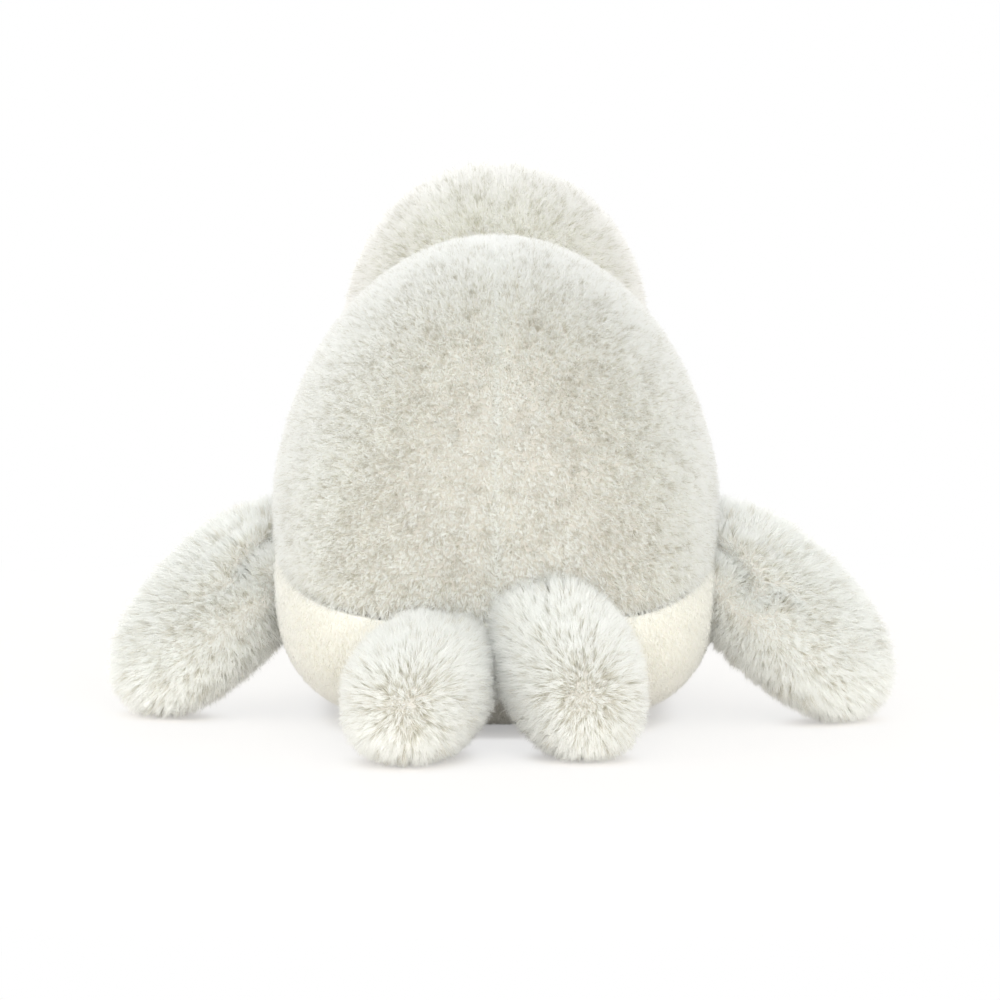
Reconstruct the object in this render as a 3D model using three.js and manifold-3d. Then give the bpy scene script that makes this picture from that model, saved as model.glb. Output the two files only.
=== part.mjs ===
// A plush seal that lies on its belly. Millimetres, +Z up, the floor at z = 0.
// The nose points along -Y and the seal's left side is +X.
import * as THREE from 'three';
import { mergeVertices } from 'three/addons/utils/BufferGeometryUtils.js';
import Module from 'manifold-3d';

const wasm = await Module();
wasm.setup();

// Fabric and clearances
const fabric = 4; // backing and pile together
const pouchCloth = 1.2; // thin cloth of the bean pouch
const seamGap = 0.3; // between two panels along their seam
const fillGap = 0.5; // between a skin and what fills it
const swingGap = 0.4; // between a part that swings and what it swings on
const pressed = 0.5; // depth to which the belly is flattened by the toy's weight

// Body
const bodyStation = 10; // Y of the widest section
const bodyWaist = 54; // height of the widest line
const bodyHeight = 134;
const bodyHalfWidth = 63;
const bodyFront = 105; // widest section to the chest
const bodyRear = 92; // widest section to the rump
const bellySeamHeight = 53.3; // grey fabric meets the cream belly, at the widest section
const bellySeamRise = 12.5; // degrees, the seam climbs towards the chest
const chestSeamBack = 12; // cross seam in the cream fabric, behind the widest section
const bodyOutline = { sectionUp: 2, sectionDown: 3.6, planUp: 2.3, planDown: 3.3 };

// Bean pouch on the floor of the belly
const pouchHalfWidth = 34;
const pouchHalfLength = 44;
const pouchHeight = 24;
const pouchMouthRadius = 6; // filling hole in the top
const pouchOutline = { sectionUp: 2.4, sectionDown: 2.4, planUp: 2.4, planDown: 2.4 };

// Head
const headRadius = 49; // seen from the side, so the head turns in its seat
const headHalfWidth = 45;
const headSetBack = 11; // centre behind the front of the chest
const headDrop = 31.5; // centre below the top of the back
const muzzleReach = 9;
const muzzleSpread = 30; // degrees from the muzzle's middle to its slope
const muzzleTilt = 12; // degrees below the level
const whiskerPadReach = 3; // two soft pads, one to each side of the muzzle
const whiskerPadSpread = 13; // degrees
const whiskerPadApart = 15; // degrees from the middle plane
const whiskerPadTilt = 19; // degrees below the level
const muzzleSeamInset = 11; // the muzzle seam lies this far inside the head's round front
const chinSeamRaise = 29; // chin seam over the bottom of the head
const headOutline = { sectionUp: 2, sectionDown: 2, planUp: 2, planDown: 2 };

// Safety eyes and nose: a dome, its shank through the skin, and a washer behind the skin
const eyeRadius = 6;
const eyeDome = 4.5;
const eyeApart = 31; // degrees to each side of the face's middle
const eyeRaise = 12; // degrees above the level
const noseRadius = 7.5;
const noseDome = 5;
const noseRaise = 3; // degrees above the muzzle's middle
const shankRadius = 2;
const shankSpare = 3; // shank that stands past its washer
const washerRadius = 8;
const washerThickness = 1.8;
const washerGap = 0.9; // skin to washer, over the flat faces of the skin
const shankGap = 0.4;

// Front flippers
const flipperLength = 66; // seat to tip
const flipperWidth = 54;
const flipperThickness = 31;
const flipperRootWidth = 50;
const flipperRootThickness = 11;
const flipperSunk = 16; // length that runs on towards the body's middle before it is cut
const flipperBend = 10; // droop of the tip
const flipperRoll = 36; // degrees, the broad top face leans back
const flipperSeamSlope = 31; // degrees, the root seam falls towards the tail
const flipperLift = 45; // degrees, swing from the floor up
const flipperPoses = {
  left: { behind: 2, drop: 5, sweep: 48 }, // seat behind and below the widest line, degrees back
  right: { behind: 18, drop: 5, sweep: 39 },
};

// Tail flippers
const tailLength = 48; // seat to tip
const tailWidth = 38;
const tailThickness = 35;
const tailRootWidth = 38;
const tailRootThickness = 33;
const tailSunk = 22;
const tailBend = 3;
const tailMiddle = 0.8; // the tail lies a little to the left
const tailLift = 30; // degrees
const tailPoses = {
  left: { apart: 16, height: 38, splay: 13 }, // seat from the tail's middle, top crease, degrees outward
  right: { apart: 15, height: 46, splay: 17 },
};

// Both kinds of flipper
const paddleOutline = { sectionUp: 2.2, sectionDown: 2.2, planUp: 2.4, planDown: 2.4 };
const paddleSwell = [0, 0.4]; // shares of the length between which it swells to its full size
const paddleSeamDroop = 1 / 3; // share of the bend by which the edge seam lies under the seat

// Facets of the forms: around the long axis, and from pole to pole
const bodyFacets = [32, 16];
const headFacets = [24, 12];
const pouchFacets = [16, 8];
const flipperFacets = [14, 9];
const tailFacets = [12, 8];
const roundFacets = 12;
const domeSteps = 5;
const rimSteps = 8; // places round a washer's rim where the skin's height is taken

// Searches
const outlineBlend = 0.4; // the upper outline turns into the lower one between these heights
const searchPasses = 40;
const searchReach = 4; // form lengths
const settleRange = [-80, 60]; // degrees about the hinge
const mergeTolerance = 1e-4;

// Colours
const greyFur = new THREE.MeshStandardMaterial({ color: 0xe4e3dd, roughness: 0.95 });
const creamFur = new THREE.MeshStandardMaterial({ color: 0xf6f1e3, roughness: 0.95 });
const fibreFill = new THREE.MeshStandardMaterial({ color: 0xfafafa, roughness: 1 });
const pouchFabric = new THREE.MeshStandardMaterial({ color: 0xdedad0, roughness: 0.9 });
const pelletPlastic = new THREE.MeshStandardMaterial({ color: 0xf0f0ee, roughness: 0.5 });
const eyePlastic = new THREE.MeshStandardMaterial({ color: 0x0b0a0a, roughness: 0.08 });
const nosePlastic = new THREE.MeshStandardMaterial({ color: 0x2a2423, roughness: 0.35 });
const washerPlastic = new THREE.MeshStandardMaterial({ color: 0xe9e9e4, roughness: 0.5 });

const { degToRad, lerp, smoothstep } = THREE.MathUtils;
const upward = new THREE.Vector3(0, 0, 1);
const backward = new THREE.Vector3(0, 1, 0);
const leftward = new THREE.Vector3(1, 0, 0);

// A rounded form is described by its half sizes and by how square its outlines are.
// Its surface lies at one reach from the centre in each direction, less the inset.
function reachOf(form, direction, inset) {
  const side = form.side - inset;
  const long = (direction.y < 0 ? form.front : form.rear) - inset;
  const tall = (direction.z > 0 ? form.up : form.down) - inset;
  const low = smoothstep(-direction.z, -outlineBlend, outlineBlend);
  const { sectionUp, sectionDown, planUp, planDown } = form.outline;
  const sectionPower = lerp(sectionUp, sectionDown, low);
  const planPower = lerp(planUp, planDown, low);
  const section = Math.abs(direction.x / side) ** sectionPower
    + Math.abs(direction.z / tall) ** sectionPower;
  const whole = section ** (planPower / sectionPower) + Math.abs(direction.y / long) ** planPower;
  return whole ** (-1 / planPower);
}

// Closed surface in rings from a pole at -Y to a pole at +Y
function closedSurface([around, along], pointAt) {
  const corners = [];
  const faces = [];
  const last = 1 + (along - 1) * around;
  corners.push(pointAt(backward.clone().negate()));
  for (let ring = 1; ring < along; ring += 1) {
    const tilt = Math.PI * (ring / along - 0.5);
    for (let step = 0; step < around; step += 1) {
      const turn = (2 * Math.PI * step) / around;
      const flat = Math.cos(tilt);
      const direction = new THREE.Vector3(flat * Math.cos(turn), Math.sin(tilt), flat * Math.sin(turn));
      corners.push(pointAt(direction));
    }
  }
  corners.push(pointAt(backward.clone()));
  for (let step = 0; step < around; step += 1) {
    const next = (step + 1) % around;
    faces.push(0, 1 + step, 1 + next);
    for (let ring = 0; ring < along - 2; ring += 1) {
      const near = 1 + ring * around;
      const far = near + around;
      faces.push(near + step, far + step, near + next);
      faces.push(near + next, far + step, far + next);
    }
    faces.push(last, last - around + next, last - around + step);
  }
  const geometry = new THREE.BufferGeometry().setFromPoints(corners);
  geometry.setIndex(faces);
  return geometry;
}

// Solid of a closed geometry, whose shared corners are merged first
function solidOf(geometry, matrix = new THREE.Matrix4()) {
  const bare = geometry.clone();
  bare.deleteAttribute('normal');
  bare.deleteAttribute('uv');
  const merged = mergeVertices(bare.applyMatrix4(matrix), mergeTolerance);
  const faces = [];
  for (let start = 0; start < merged.index.count; start += 3) {
    const [a, b, c] = [0, 1, 2].map((corner) => merged.index.getX(start + corner));
    if (a !== b && b !== c && c !== a) {
      faces.push(...(matrix.determinant() < 0 ? [a, c, b] : [a, b, c]));
    }
  }
  return new wasm.Manifold(new wasm.Mesh({
    numProp: 3,
    vertProperties: new Float32Array(merged.attributes.position.array),
    triVerts: new Uint32Array(faces),
  }));
}

function keepAhead(solid, normal, distance) {
  return solid.trimByPlane(normal.toArray(), distance);
}

function keepBehind(solid, normal, distance) {
  return solid.trimByPlane(normal.clone().negate().toArray(), -distance);
}

// The two panels that a straight seam makes of a skin
function sewnPair(skin, normal, distance) {
  return [
    keepAhead(skin, normal, distance + seamGap / 2),
    keepBehind(skin, normal, distance - seamGap / 2),
  ];
}

// Point where a line from inside a form leaves it
function surfacePoint(form, start, direction) {
  let inside = 0;
  let outside = searchReach * (form.front + form.rear);
  const offset = new THREE.Vector3();
  for (let pass = 0; pass < searchPasses; pass += 1) {
    const middle = (inside + outside) / 2;
    offset.copy(start).addScaledVector(direction, middle).sub(form.centre);
    const within = offset.length() < reachOf(form, offset.clone().normalize(), 0);
    if (within) {
      inside = middle;
    } else {
      outside = middle;
    }
  }
  return start.clone().addScaledVector(direction, inside);
}

// Turn about an axis through a point, in degrees
function turnAbout(point, axis, angle) {
  return new THREE.Matrix4().makeTranslation(point)
    .multiply(new THREE.Matrix4().makeRotationAxis(axis, degToRad(angle)))
    .multiply(new THREE.Matrix4().makeTranslation(point.clone().negate()));
}

// Body
const bodyForm = {
  centre: new THREE.Vector3(0, bodyStation, bodyWaist),
  side: bodyHalfWidth,
  front: bodyFront,
  rear: bodyRear,
  up: bodyHeight - bodyWaist,
  down: bodyWaist + pressed,
  outline: bodyOutline,
};

function formPoint(form, inset) {
  return (direction) => direction.clone().multiplyScalar(reachOf(form, direction, inset)).add(form.centre);
}

function bodyGeometry(inset) {
  return closedSurface(bodyFacets, formPoint(bodyForm, inset));
}

function bodySolid(inset) {
  return keepAhead(solidOf(bodyGeometry(inset)), upward, 0);
}

// Direction from the head's centre, in degrees to the left of the nose and above the level
function faceDirection(turn, lift) {
  return new THREE.Vector3(
    Math.sin(degToRad(turn)) * Math.cos(degToRad(lift)),
    -Math.cos(degToRad(turn)) * Math.cos(degToRad(lift)),
    Math.sin(degToRad(lift)),
  );
}

// Head, with the muzzle as a soft swelling on it
const muzzleAxis = faceDirection(0, -muzzleTilt);
const whiskerPads = [-whiskerPadApart, whiskerPadApart].map((turn) => faceDirection(turn, -whiskerPadTilt));
const headForm = {
  centre: new THREE.Vector3(0, bodyStation - bodyFront + headSetBack, bodyHeight - headDrop),
  side: headHalfWidth,
  front: headRadius,
  rear: headRadius,
  up: headRadius,
  down: headRadius,
  outline: headOutline,
};

function headReach(direction, inset) {
  const away = direction.angleTo(muzzleAxis) / degToRad(muzzleSpread);
  const pads = whiskerPads.map((pad) => direction.angleTo(pad) / degToRad(whiskerPadSpread));
  const swelling = muzzleReach * Math.exp(-(away ** 3))
    + whiskerPadReach * pads.reduce((sum, pad) => sum + Math.exp(-pad * pad), 0);
  return reachOf(headForm, direction, inset) + swelling;
}

function headGeometry(inset) {
  return closedSurface(headFacets, (direction) => (
    direction.clone().multiplyScalar(headReach(direction, inset)).add(headForm.centre)
  ));
}

// Seat in the body: the head is round about its own cross axis, so it nods inside it.
// The seat's flat facets cut in by their sagitta, which is added to the running gap.
function headSeat() {
  const sagitta = headRadius * (1 - Math.cos(Math.PI / headFacets[0]));
  return solidOf(closedSurface(headFacets, formPoint(headForm, -swingGap - sagitta)));
}

// Button on the face: where it sits, its outward axis, and its dome, shank and washer
function faceButton(sideways, raised, radius, dome) {
  const skinAt = (turn, lift, inset) => {
    const direction = faceDirection(turn, lift);
    return direction.clone().multiplyScalar(headReach(direction, inset)).add(headForm.centre);
  };
  const across = skinAt(sideways + 1, raised, 0).sub(skinAt(sideways - 1, raised, 0));
  const along = skinAt(sideways, raised + 1, 0).sub(skinAt(sideways, raised - 1, 0));
  const axis = across.cross(along).normalize();
  const seat = skinAt(sideways, raised, 0);
  const frame = new THREE.Matrix4().compose(
    seat,
    new THREE.Quaternion().setFromUnitVectors(backward, axis),
    new THREE.Vector3(1, 1, 1),
  );
  const rim = THREE.MathUtils.radToDeg(washerRadius / headRadius);
  const rimHeights = Array.from({ length: rimSteps }, (_, step) => {
    const turn = (2 * Math.PI * step) / rimSteps;
    const place = skinAt(sideways + rim * Math.cos(turn), raised + rim * Math.sin(turn), fabric);
    return place.sub(seat).dot(axis);
  });
  const washerTop = Math.min(...rimHeights) - washerGap;
  const shankEnd = washerTop - washerThickness - shankSpare;
  return { frame, radius, dome, washerTop, shankEnd };
}

function turned(profile, button) {
  const points = profile.map(([radius, height]) => new THREE.Vector2(radius, height));
  return solidOf(new THREE.LatheGeometry(points, roundFacets), button.frame);
}

function buttonSolid(button) {
  const dome = Array.from({ length: domeSteps }, (_, step) => {
    const angle = (Math.PI / 2) * (step / domeSteps);
    return [button.radius * Math.cos(angle), seamGap + button.dome * Math.sin(angle)];
  });
  return turned([
    [0, button.shankEnd],
    [shankRadius, button.shankEnd],
    [shankRadius, seamGap],
    ...dome,
    [0, seamGap + button.dome],
  ], button);
}

function washerSolid(button) {
  const { washerTop } = button;
  return turned([
    [shankRadius + shankGap, washerTop - washerThickness],
    [washerRadius, washerTop - washerThickness],
    [washerRadius, washerTop],
    [shankRadius + shankGap, washerTop],
    [shankRadius + shankGap, washerTop - washerThickness],
  ], button);
}

// Hole through the skin for a shank, and the pocket behind it in the filling
function shankHole(button) {
  const radius = shankRadius + shankGap;
  const floor = button.shankEnd - fillGap;
  const top = button.radius;
  return turned([[0, floor], [radius, floor], [radius, top], [0, top]], button);
}

function washerPocket(button) {
  const radius = washerRadius + fillGap;
  const floor = button.washerTop - washerThickness - fillGap;
  return turned([[0, floor], [radius, floor], [radius, 0], [0, 0]], button);
}

const buttons = {
  left_eye: faceButton(eyeApart, eyeRaise, eyeRadius, eyeDome),
  right_eye: faceButton(-eyeApart, eyeRaise, eyeRadius, eyeDome),
  nose: faceButton(0, noseRaise - muzzleTilt, noseRadius, noseDome),
};

// Flippers are flat rounded paddles along their own Y axis, broad along X, with the top face at +Z
const frontPaddle = {
  length: flipperLength,
  width: flipperWidth,
  thickness: flipperThickness,
  rootWidth: flipperRootWidth,
  rootThickness: flipperRootThickness,
  sunk: flipperSunk,
  bend: flipperBend,
  facets: flipperFacets,
};
const tailPaddle = {
  length: tailLength,
  width: tailWidth,
  thickness: tailThickness,
  rootWidth: tailRootWidth,
  rootThickness: tailRootThickness,
  sunk: tailSunk,
  bend: tailBend,
  facets: tailFacets,
};

function paddleGeometry(paddle, inset) {
  const half = (paddle.length + paddle.sunk) / 2;
  const form = {
    side: paddle.width / 2,
    front: half,
    rear: half,
    up: paddle.thickness / 2,
    down: paddle.thickness / 2,
    outline: paddleOutline,
  };
  return closedSurface(paddle.facets, (direction) => {
    const point = direction.clone().multiplyScalar(reachOf(form, direction, inset));
    const along = (point.y + half) / (2 * half);
    const full = smoothstep(along, ...paddleSwell);
    point.x *= lerp(paddle.rootWidth / paddle.width, 1, full);
    point.z *= lerp(paddle.rootThickness / paddle.thickness, 1, full);
    point.z -= paddle.bend * along * along;
    point.y += half - paddle.sunk;
    return point;
  });
}

// Turns a paddle about its hinge until it just touches the floor, and returns its matrix
function settled(paddle, matrix, hinge) {
  const outer = paddleGeometry(paddle, 0);
  const lowest = (angle) => {
    const turned = outer.clone().applyMatrix4(turnAbout(hinge.point, hinge.axis, angle).multiply(matrix));
    turned.computeBoundingBox();
    return turned.boundingBox.min.z;
  };
  let [low, high] = settleRange;
  for (let pass = 0; pass < searchPasses; pass += 1) {
    const middle = (low + high) / 2;
    if (lowest(middle) < 0) {
      low = middle;
    } else {
      high = middle;
    }
  }
  return turnAbout(hinge.point, hinge.axis, high).multiply(matrix);
}

function basis(origin, across, along, up) {
  return new THREE.Matrix4().makeBasis(across, along, up).setPosition(origin);
}

// Seat, hinge and matrix of a front flipper, as if on the left
function frontFlipper(pose) {
  const start = new THREE.Vector3(0, bodyStation + pose.behind, bodyWaist - pose.drop);
  const seat = surfacePoint(bodyForm, start, leftward);
  const slope = degToRad(flipperSeamSlope);
  const axis = new THREE.Vector3(0, -Math.cos(slope), Math.sin(slope));
  const sweep = degToRad(pose.sweep);
  const along = new THREE.Vector3(Math.cos(sweep), Math.sin(sweep), 0);
  const level = new THREE.Vector3(-Math.sin(sweep), Math.cos(sweep), 0);
  const roll = degToRad(flipperRoll);
  const top = level.clone().multiplyScalar(Math.sin(roll)).addScaledVector(upward, Math.cos(roll));
  const across = along.clone().cross(top);
  const matrix = basis(seat, across, along, top);
  const point = seat.clone().addScaledVector(top, flipperRootThickness / 2);
  const hinge = { point, axis };
  return { paddle: frontPaddle, hinge, matrix: settled(frontPaddle, matrix, hinge), lift: flipperLift };
}

// Seat, hinge and matrix of a tail flipper, as if on the left, which folds about the crease above it
function tailFlipper(pose, middle) {
  const start = new THREE.Vector3(middle + pose.apart, bodyStation, pose.height);
  const crease = surfacePoint(bodyForm, start, backward);
  const splay = degToRad(pose.splay);
  const along = new THREE.Vector3(Math.sin(splay), Math.cos(splay), 0);
  const across = along.clone().cross(upward);
  const seat = crease.clone().addScaledVector(upward, -tailRootThickness / 2);
  const matrix = basis(seat, across, along, upward.clone());
  const hinge = { point: crease.clone().addScaledVector(backward, swingGap), axis: leftward.clone() };
  return { paddle: tailPaddle, hinge, matrix: settled(tailPaddle, matrix, hinge), lift: tailLift };
}

const mirror = new THREE.Matrix4().makeScale(-1, 1, 1);

// A flipper is cut by the body, as it meets it at these shares of its swing
const swingShares = [0, 0.4, 0.7, 1];

function limbSolids(limb, mirrored) {
  const flip = mirrored ? mirror.clone() : new THREE.Matrix4();
  const body = bodyGeometry(-swingGap);
  const cutters = swingShares.map((share) => (
    solidOf(body, flip.clone().multiply(turnAbout(limb.hinge.point, limb.hinge.axis, -share * limb.lift)))
  ));
  const cutter = cutters.reduce((all, one) => all.add(one));
  const matrix = flip.clone().multiply(limb.matrix);
  const whole = (inset) => solidOf(paddleGeometry(limb.paddle, inset), matrix).subtract(cutter);
  const skin = whole(0).subtract(solidOf(paddleGeometry(limb.paddle, fabric), matrix));
  const seat = new THREE.Vector3().setFromMatrixPosition(matrix);
  const top = upward.clone().transformDirection(limb.matrix).applyMatrix4(flip);
  const [upper, under] = sewnPair(skin, top, seat.dot(top) - limb.paddle.bend * paddleSeamDroop);
  return { upper, under, filling: whole(fabric + fillGap) };
}

// Scene
const seal = new THREE.Group();

function addPiece(group, name, solid, material) {
  const mesh = solid.getMesh();
  const geometry = new THREE.BufferGeometry();
  geometry.setAttribute('position', new THREE.BufferAttribute(mesh.vertProperties.slice(), 3));
  geometry.setIndex(new THREE.BufferAttribute(mesh.triVerts.slice(), 1));
  geometry.translate(...group.position.clone().negate().toArray());
  geometry.computeVertexNormals();
  const piece = new THREE.Mesh(geometry, material);
  piece.name = name;
  group.add(piece);
}

function addGroup(point) {
  const group = new THREE.Group();
  group.position.copy(point);
  seal.add(group);
  return group;
}

function addBody() {
  const group = addGroup(bodyForm.centre);
  const seat = headSeat();
  const skin = bodySolid(0).subtract(bodySolid(fabric)).subtract(seat);
  const seamNormal = upward.clone().applyAxisAngle(leftward, degToRad(-bellySeamRise));
  const seamPoint = new THREE.Vector3(0, bodyStation, bellySeamHeight);
  const [back, cream] = sewnPair(skin, seamNormal, seamPoint.dot(seamNormal));
  const [backLeft, backRight] = sewnPair(back, leftward, 0);
  const [belly, chest] = sewnPair(cream, backward, bodyStation + chestSeamBack);
  addPiece(group, 'back_left_panel', backLeft, greyFur);
  addPiece(group, 'back_right_panel', backRight, greyFur);
  addPiece(group, 'belly_panel', belly, creamFur);
  addPiece(group, 'chest_panel', chest, creamFur);
  addFilling(group, seat);
}

// The pouch lies on the belly fabric, in a pocket of the body's filling that is open below
function addFilling(group, seat) {
  const pouchForm = {
    centre: new THREE.Vector3(0, bodyStation, fabric + pouchHeight / 2),
    side: pouchHalfWidth,
    front: pouchHalfLength,
    rear: pouchHalfLength,
    up: pouchHeight / 2,
    down: pouchHeight,
    outline: pouchOutline,
  };
  const pouch = (inset, room) => solidOf(closedSurface(pouchFacets, formPoint(pouchForm, inset)))
    .intersect(bodySolid(fabric + fillGap + room));
  const filling = bodySolid(fabric + fillGap).subtract(seat)
    .subtract(solidOf(closedSurface(pouchFacets, formPoint(pouchForm, -fillGap))));
  const mouth = new THREE.CylinderGeometry(pouchMouthRadius, pouchMouthRadius, pouchHeight, roundFacets);
  const mouthPlace = new THREE.Matrix4().makeTranslation(0, bodyStation, fabric + pouchHeight)
    .multiply(new THREE.Matrix4().makeRotationX(Math.PI / 2));
  const bag = pouch(0, 0).subtract(pouch(pouchCloth, pouchCloth)).subtract(solidOf(mouth, mouthPlace));
  const inner = pouchCloth + fillGap;
  addPiece(group, 'body_filling', filling, fibreFill);
  addPiece(group, 'bean_pouch', bag, pouchFabric);
  addPiece(group, 'bean_pellets', pouch(inner, inner), pelletPlastic);
}

function addHead() {
  const group = addGroup(headForm.centre);
  const named = Object.entries(buttons);
  const holes = named.map(([, button]) => shankHole(button)).reduce((all, one) => all.add(one));
  const pockets = named.map(([, button]) => washerPocket(button)).reduce((all, one) => all.add(one));
  const skin = solidOf(headGeometry(0)).subtract(solidOf(headGeometry(fabric))).subtract(holes);
  const muzzleSeam = headForm.centre.dot(muzzleAxis) + headRadius - muzzleSeamInset;
  const [muzzle, rest] = sewnPair(skin, muzzleAxis, muzzleSeam);
  const [crown, chin] = sewnPair(rest, upward, headForm.centre.z - headRadius + chinSeamRaise);
  const [crownLeft, crownRight] = sewnPair(crown, leftward, 0);
  const filling = solidOf(headGeometry(fabric + fillGap)).subtract(pockets).subtract(holes);
  addPiece(group, 'head_left_panel', crownLeft, greyFur);
  addPiece(group, 'head_right_panel', crownRight, greyFur);
  addPiece(group, 'muzzle_panel', muzzle, creamFur);
  addPiece(group, 'chin_panel', chin, creamFur);
  addPiece(group, 'head_filling', filling, fibreFill);
  for (const [name, button] of named) {
    addPiece(group, name, buttonSolid(button), name === 'nose' ? nosePlastic : eyePlastic);
    addPiece(group, `${name}_washer`, washerSolid(button), washerPlastic);
  }
}

function addFlippers() {
  for (const [side, pose] of Object.entries(flipperPoses)) {
    const mirrored = side === 'right';
    const front = frontFlipper(pose);
    const point = front.hinge.point.clone();
    point.x *= mirrored ? -1 : 1;
    const group = addGroup(point);
    const { upper, under, filling } = limbSolids(front, mirrored);
    addPiece(group, `${side}_flipper_top`, upper, greyFur);
    addPiece(group, `${side}_flipper_underside`, under, greyFur);
    addPiece(group, `${side}_flipper_filling`, filling, fibreFill);
  }
}

function addTail() {
  for (const [side, pose] of Object.entries(tailPoses)) {
    const mirrored = side === 'right';
    const middle = mirrored ? -tailMiddle : tailMiddle;
    const tail = tailFlipper(pose, middle);
    const point = tail.hinge.point.clone();
    point.x *= mirrored ? -1 : 1;
    const group = addGroup(point);
    const outward = leftward.clone().multiplyScalar(mirrored ? -1 : 1);
    const pieces = limbSolids(tail, mirrored);
    const own = (solid) => keepAhead(solid, outward, middle + seamGap / 2);
    addPiece(group, `${side}_tail_top`, own(pieces.upper), greyFur);
    addPiece(group, `${side}_tail_underside`, own(pieces.under), greyFur);
    addPiece(group, `${side}_tail_filling`, own(pieces.filling), fibreFill);
  }
}

addBody();
addHead();
addFlippers();
addTail();

// The origin is on the floor under the middle of the toy's outline
seal.updateMatrixWorld(true);
const middle = new THREE.Box3().setFromObject(seal).getCenter(new THREE.Vector3());
seal.position.set(-middle.x, -middle.y, 0);

export default seal;
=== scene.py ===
# Plush seal that lies on its belly: fur, fillings, face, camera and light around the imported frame.
# Shapes are worked out in millimetres, with the widest section of the body at x = 0, y = 10.
import math

import bmesh
import bpy
import numpy as np
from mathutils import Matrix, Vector


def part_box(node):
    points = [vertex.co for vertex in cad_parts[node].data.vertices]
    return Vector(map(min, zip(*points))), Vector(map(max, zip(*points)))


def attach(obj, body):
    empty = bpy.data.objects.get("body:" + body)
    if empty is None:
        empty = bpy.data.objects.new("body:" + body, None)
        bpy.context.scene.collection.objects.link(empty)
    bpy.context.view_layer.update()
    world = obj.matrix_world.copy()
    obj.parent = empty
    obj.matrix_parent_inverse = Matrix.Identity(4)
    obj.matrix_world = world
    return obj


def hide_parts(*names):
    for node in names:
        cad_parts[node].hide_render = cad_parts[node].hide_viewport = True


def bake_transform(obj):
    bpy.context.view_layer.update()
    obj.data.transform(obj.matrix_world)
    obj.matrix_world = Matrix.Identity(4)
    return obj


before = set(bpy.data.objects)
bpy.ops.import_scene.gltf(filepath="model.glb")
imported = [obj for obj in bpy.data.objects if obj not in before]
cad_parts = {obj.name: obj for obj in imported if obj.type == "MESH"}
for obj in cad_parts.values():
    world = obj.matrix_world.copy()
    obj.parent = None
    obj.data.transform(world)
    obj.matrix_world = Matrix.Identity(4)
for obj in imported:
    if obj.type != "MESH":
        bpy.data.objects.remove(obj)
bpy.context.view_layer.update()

fabric = {
    "thick": 4.0,       # cloth and pile together
    "pileDepth": {"grey": 3.3, "cream": 1.5},   # from the cloth up to the toy's surface
    "cloth": {"grey": 0.6, "cream": 1.7},       # backing with its dense undercoat
    "seamGap": 0.3,
    "fillGap": 0.5,
    "swingGap": 0.4,
}

bodyShape = {
    "centre": (0.0, 10.0, 54.0), "side": 63.0, "front": 105.0, "rear": 92.0, "up": 80.0, "down": 54.5,
    "sectionUp": 2.0, "sectionDown": 3.6, "planUp": 2.3, "planDown": 3.3,
}

bodySeams = {
    "creamHeight": 53.3,    # where grey meets cream, at the widest section
    "creamRise": 12.5,      # degrees, towards the chest
    "crossY": 22.0,         # between belly and chest
    "pinchDepth": 0.7, "pinchWidth": 2.6,
    # short darts in the cream fabric beside the tail
    "dartApart": 37.0, "dartSlope": 0.45, "dartFrom": 68.0, "dartSharp": 1.6,
    "seatLift": 0.5,        # the cloth lies flat on the floor up to this height
    "faintPinch": 0.4,      # the centre seams are pulled in less than the others
}

headShape = {
    "centre": (0.0, -84.0, 102.5), "side": 45.0, "front": 49.0, "rear": 49.0, "up": 49.0, "down": 49.0,
    "sectionUp": 2.0, "sectionDown": 2.0, "planUp": 2.0, "planDown": 2.0,
}

faceShape = {
    "muzzleReach": 9.0, "muzzleSpread": 30.0, "muzzleTilt": 12.0,
    "padReach": 3.0, "padSpread": 13.0, "padApart": 15.0, "padTilt": 19.0,
    "muzzleSeam": 38.0, "chinDrop": 20.0,
    "eyeApart": 31.0, "eyeRaise": 12.0, "eyeRadius": 6.0, "eyeDome": 4.5,
    "noseRaise": 3.0, "noseRadius": 7.5, "noseDome": 5.0,
    "shankRadius": 2.0, "shankSpare": 3.0,
    "washerRadius": 8.0, "washerThick": 1.8, "washerGap": 0.9,
}

frontPaddle = {
    "length": 66.0, "width": 54.0, "thick": 31.0, "rootWidth": 50.0, "rootThick": 11.0,
    "sunk": 16.0, "bend": 10.0, "roll": 36.0, "slope": 31.0, "lift": 45.0,
    "poses": {
        "left": {"behind": 2.0, "drop": 5.0, "sweep": 48.0},
        "right": {"behind": 18.0, "drop": 5.0, "sweep": 39.0},
    },
}

tailPaddle = {
    "length": 48.0, "width": 38.0, "thick": 35.0, "rootWidth": 38.0, "rootThick": 33.0,
    "sunk": 22.0, "bend": 3.0, "lift": 30.0, "middle": 0.8,
    "poses": {
        "left": {"apart": 16.0, "height": 38.0, "splay": 13.0},
        "right": {"apart": 15.0, "height": 46.0, "splay": 17.0},
    },
}

paddleSwell = (0.0, 0.4)    # shares of the length between which a flipper swells to its full size

upward = np.array([0.0, 0.0, 1.0])
backward = np.array([0.0, 1.0, 0.0])
leftward = np.array([1.0, 0.0, 0.0])
bodyCentre = np.array(bodyShape["centre"])
headCentre = np.array(headShape["centre"])
farAway = 1000.0
scramble = {"cell": (73856093, 19349663, 83492791), "salt": 2654435761, "mix": 0x45D9F3B, "mask": 0xFFFFFFFF}

# the frame's origin lies under the middle of the outline, so the shapes shift by this much
millimetre = 0.001
frameShift = np.array([
    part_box("back_left_panel")[0].x / millimetre - fabric["seamGap"] / 2,
    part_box("chest_panel")[1].y / millimetre - (bodySeams["crossY"] - fabric["seamGap"] / 2),
    0.0,
])
print("frame shift in mm:", np.round(frameShift, 3))


# Vectors and soft fields

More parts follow.
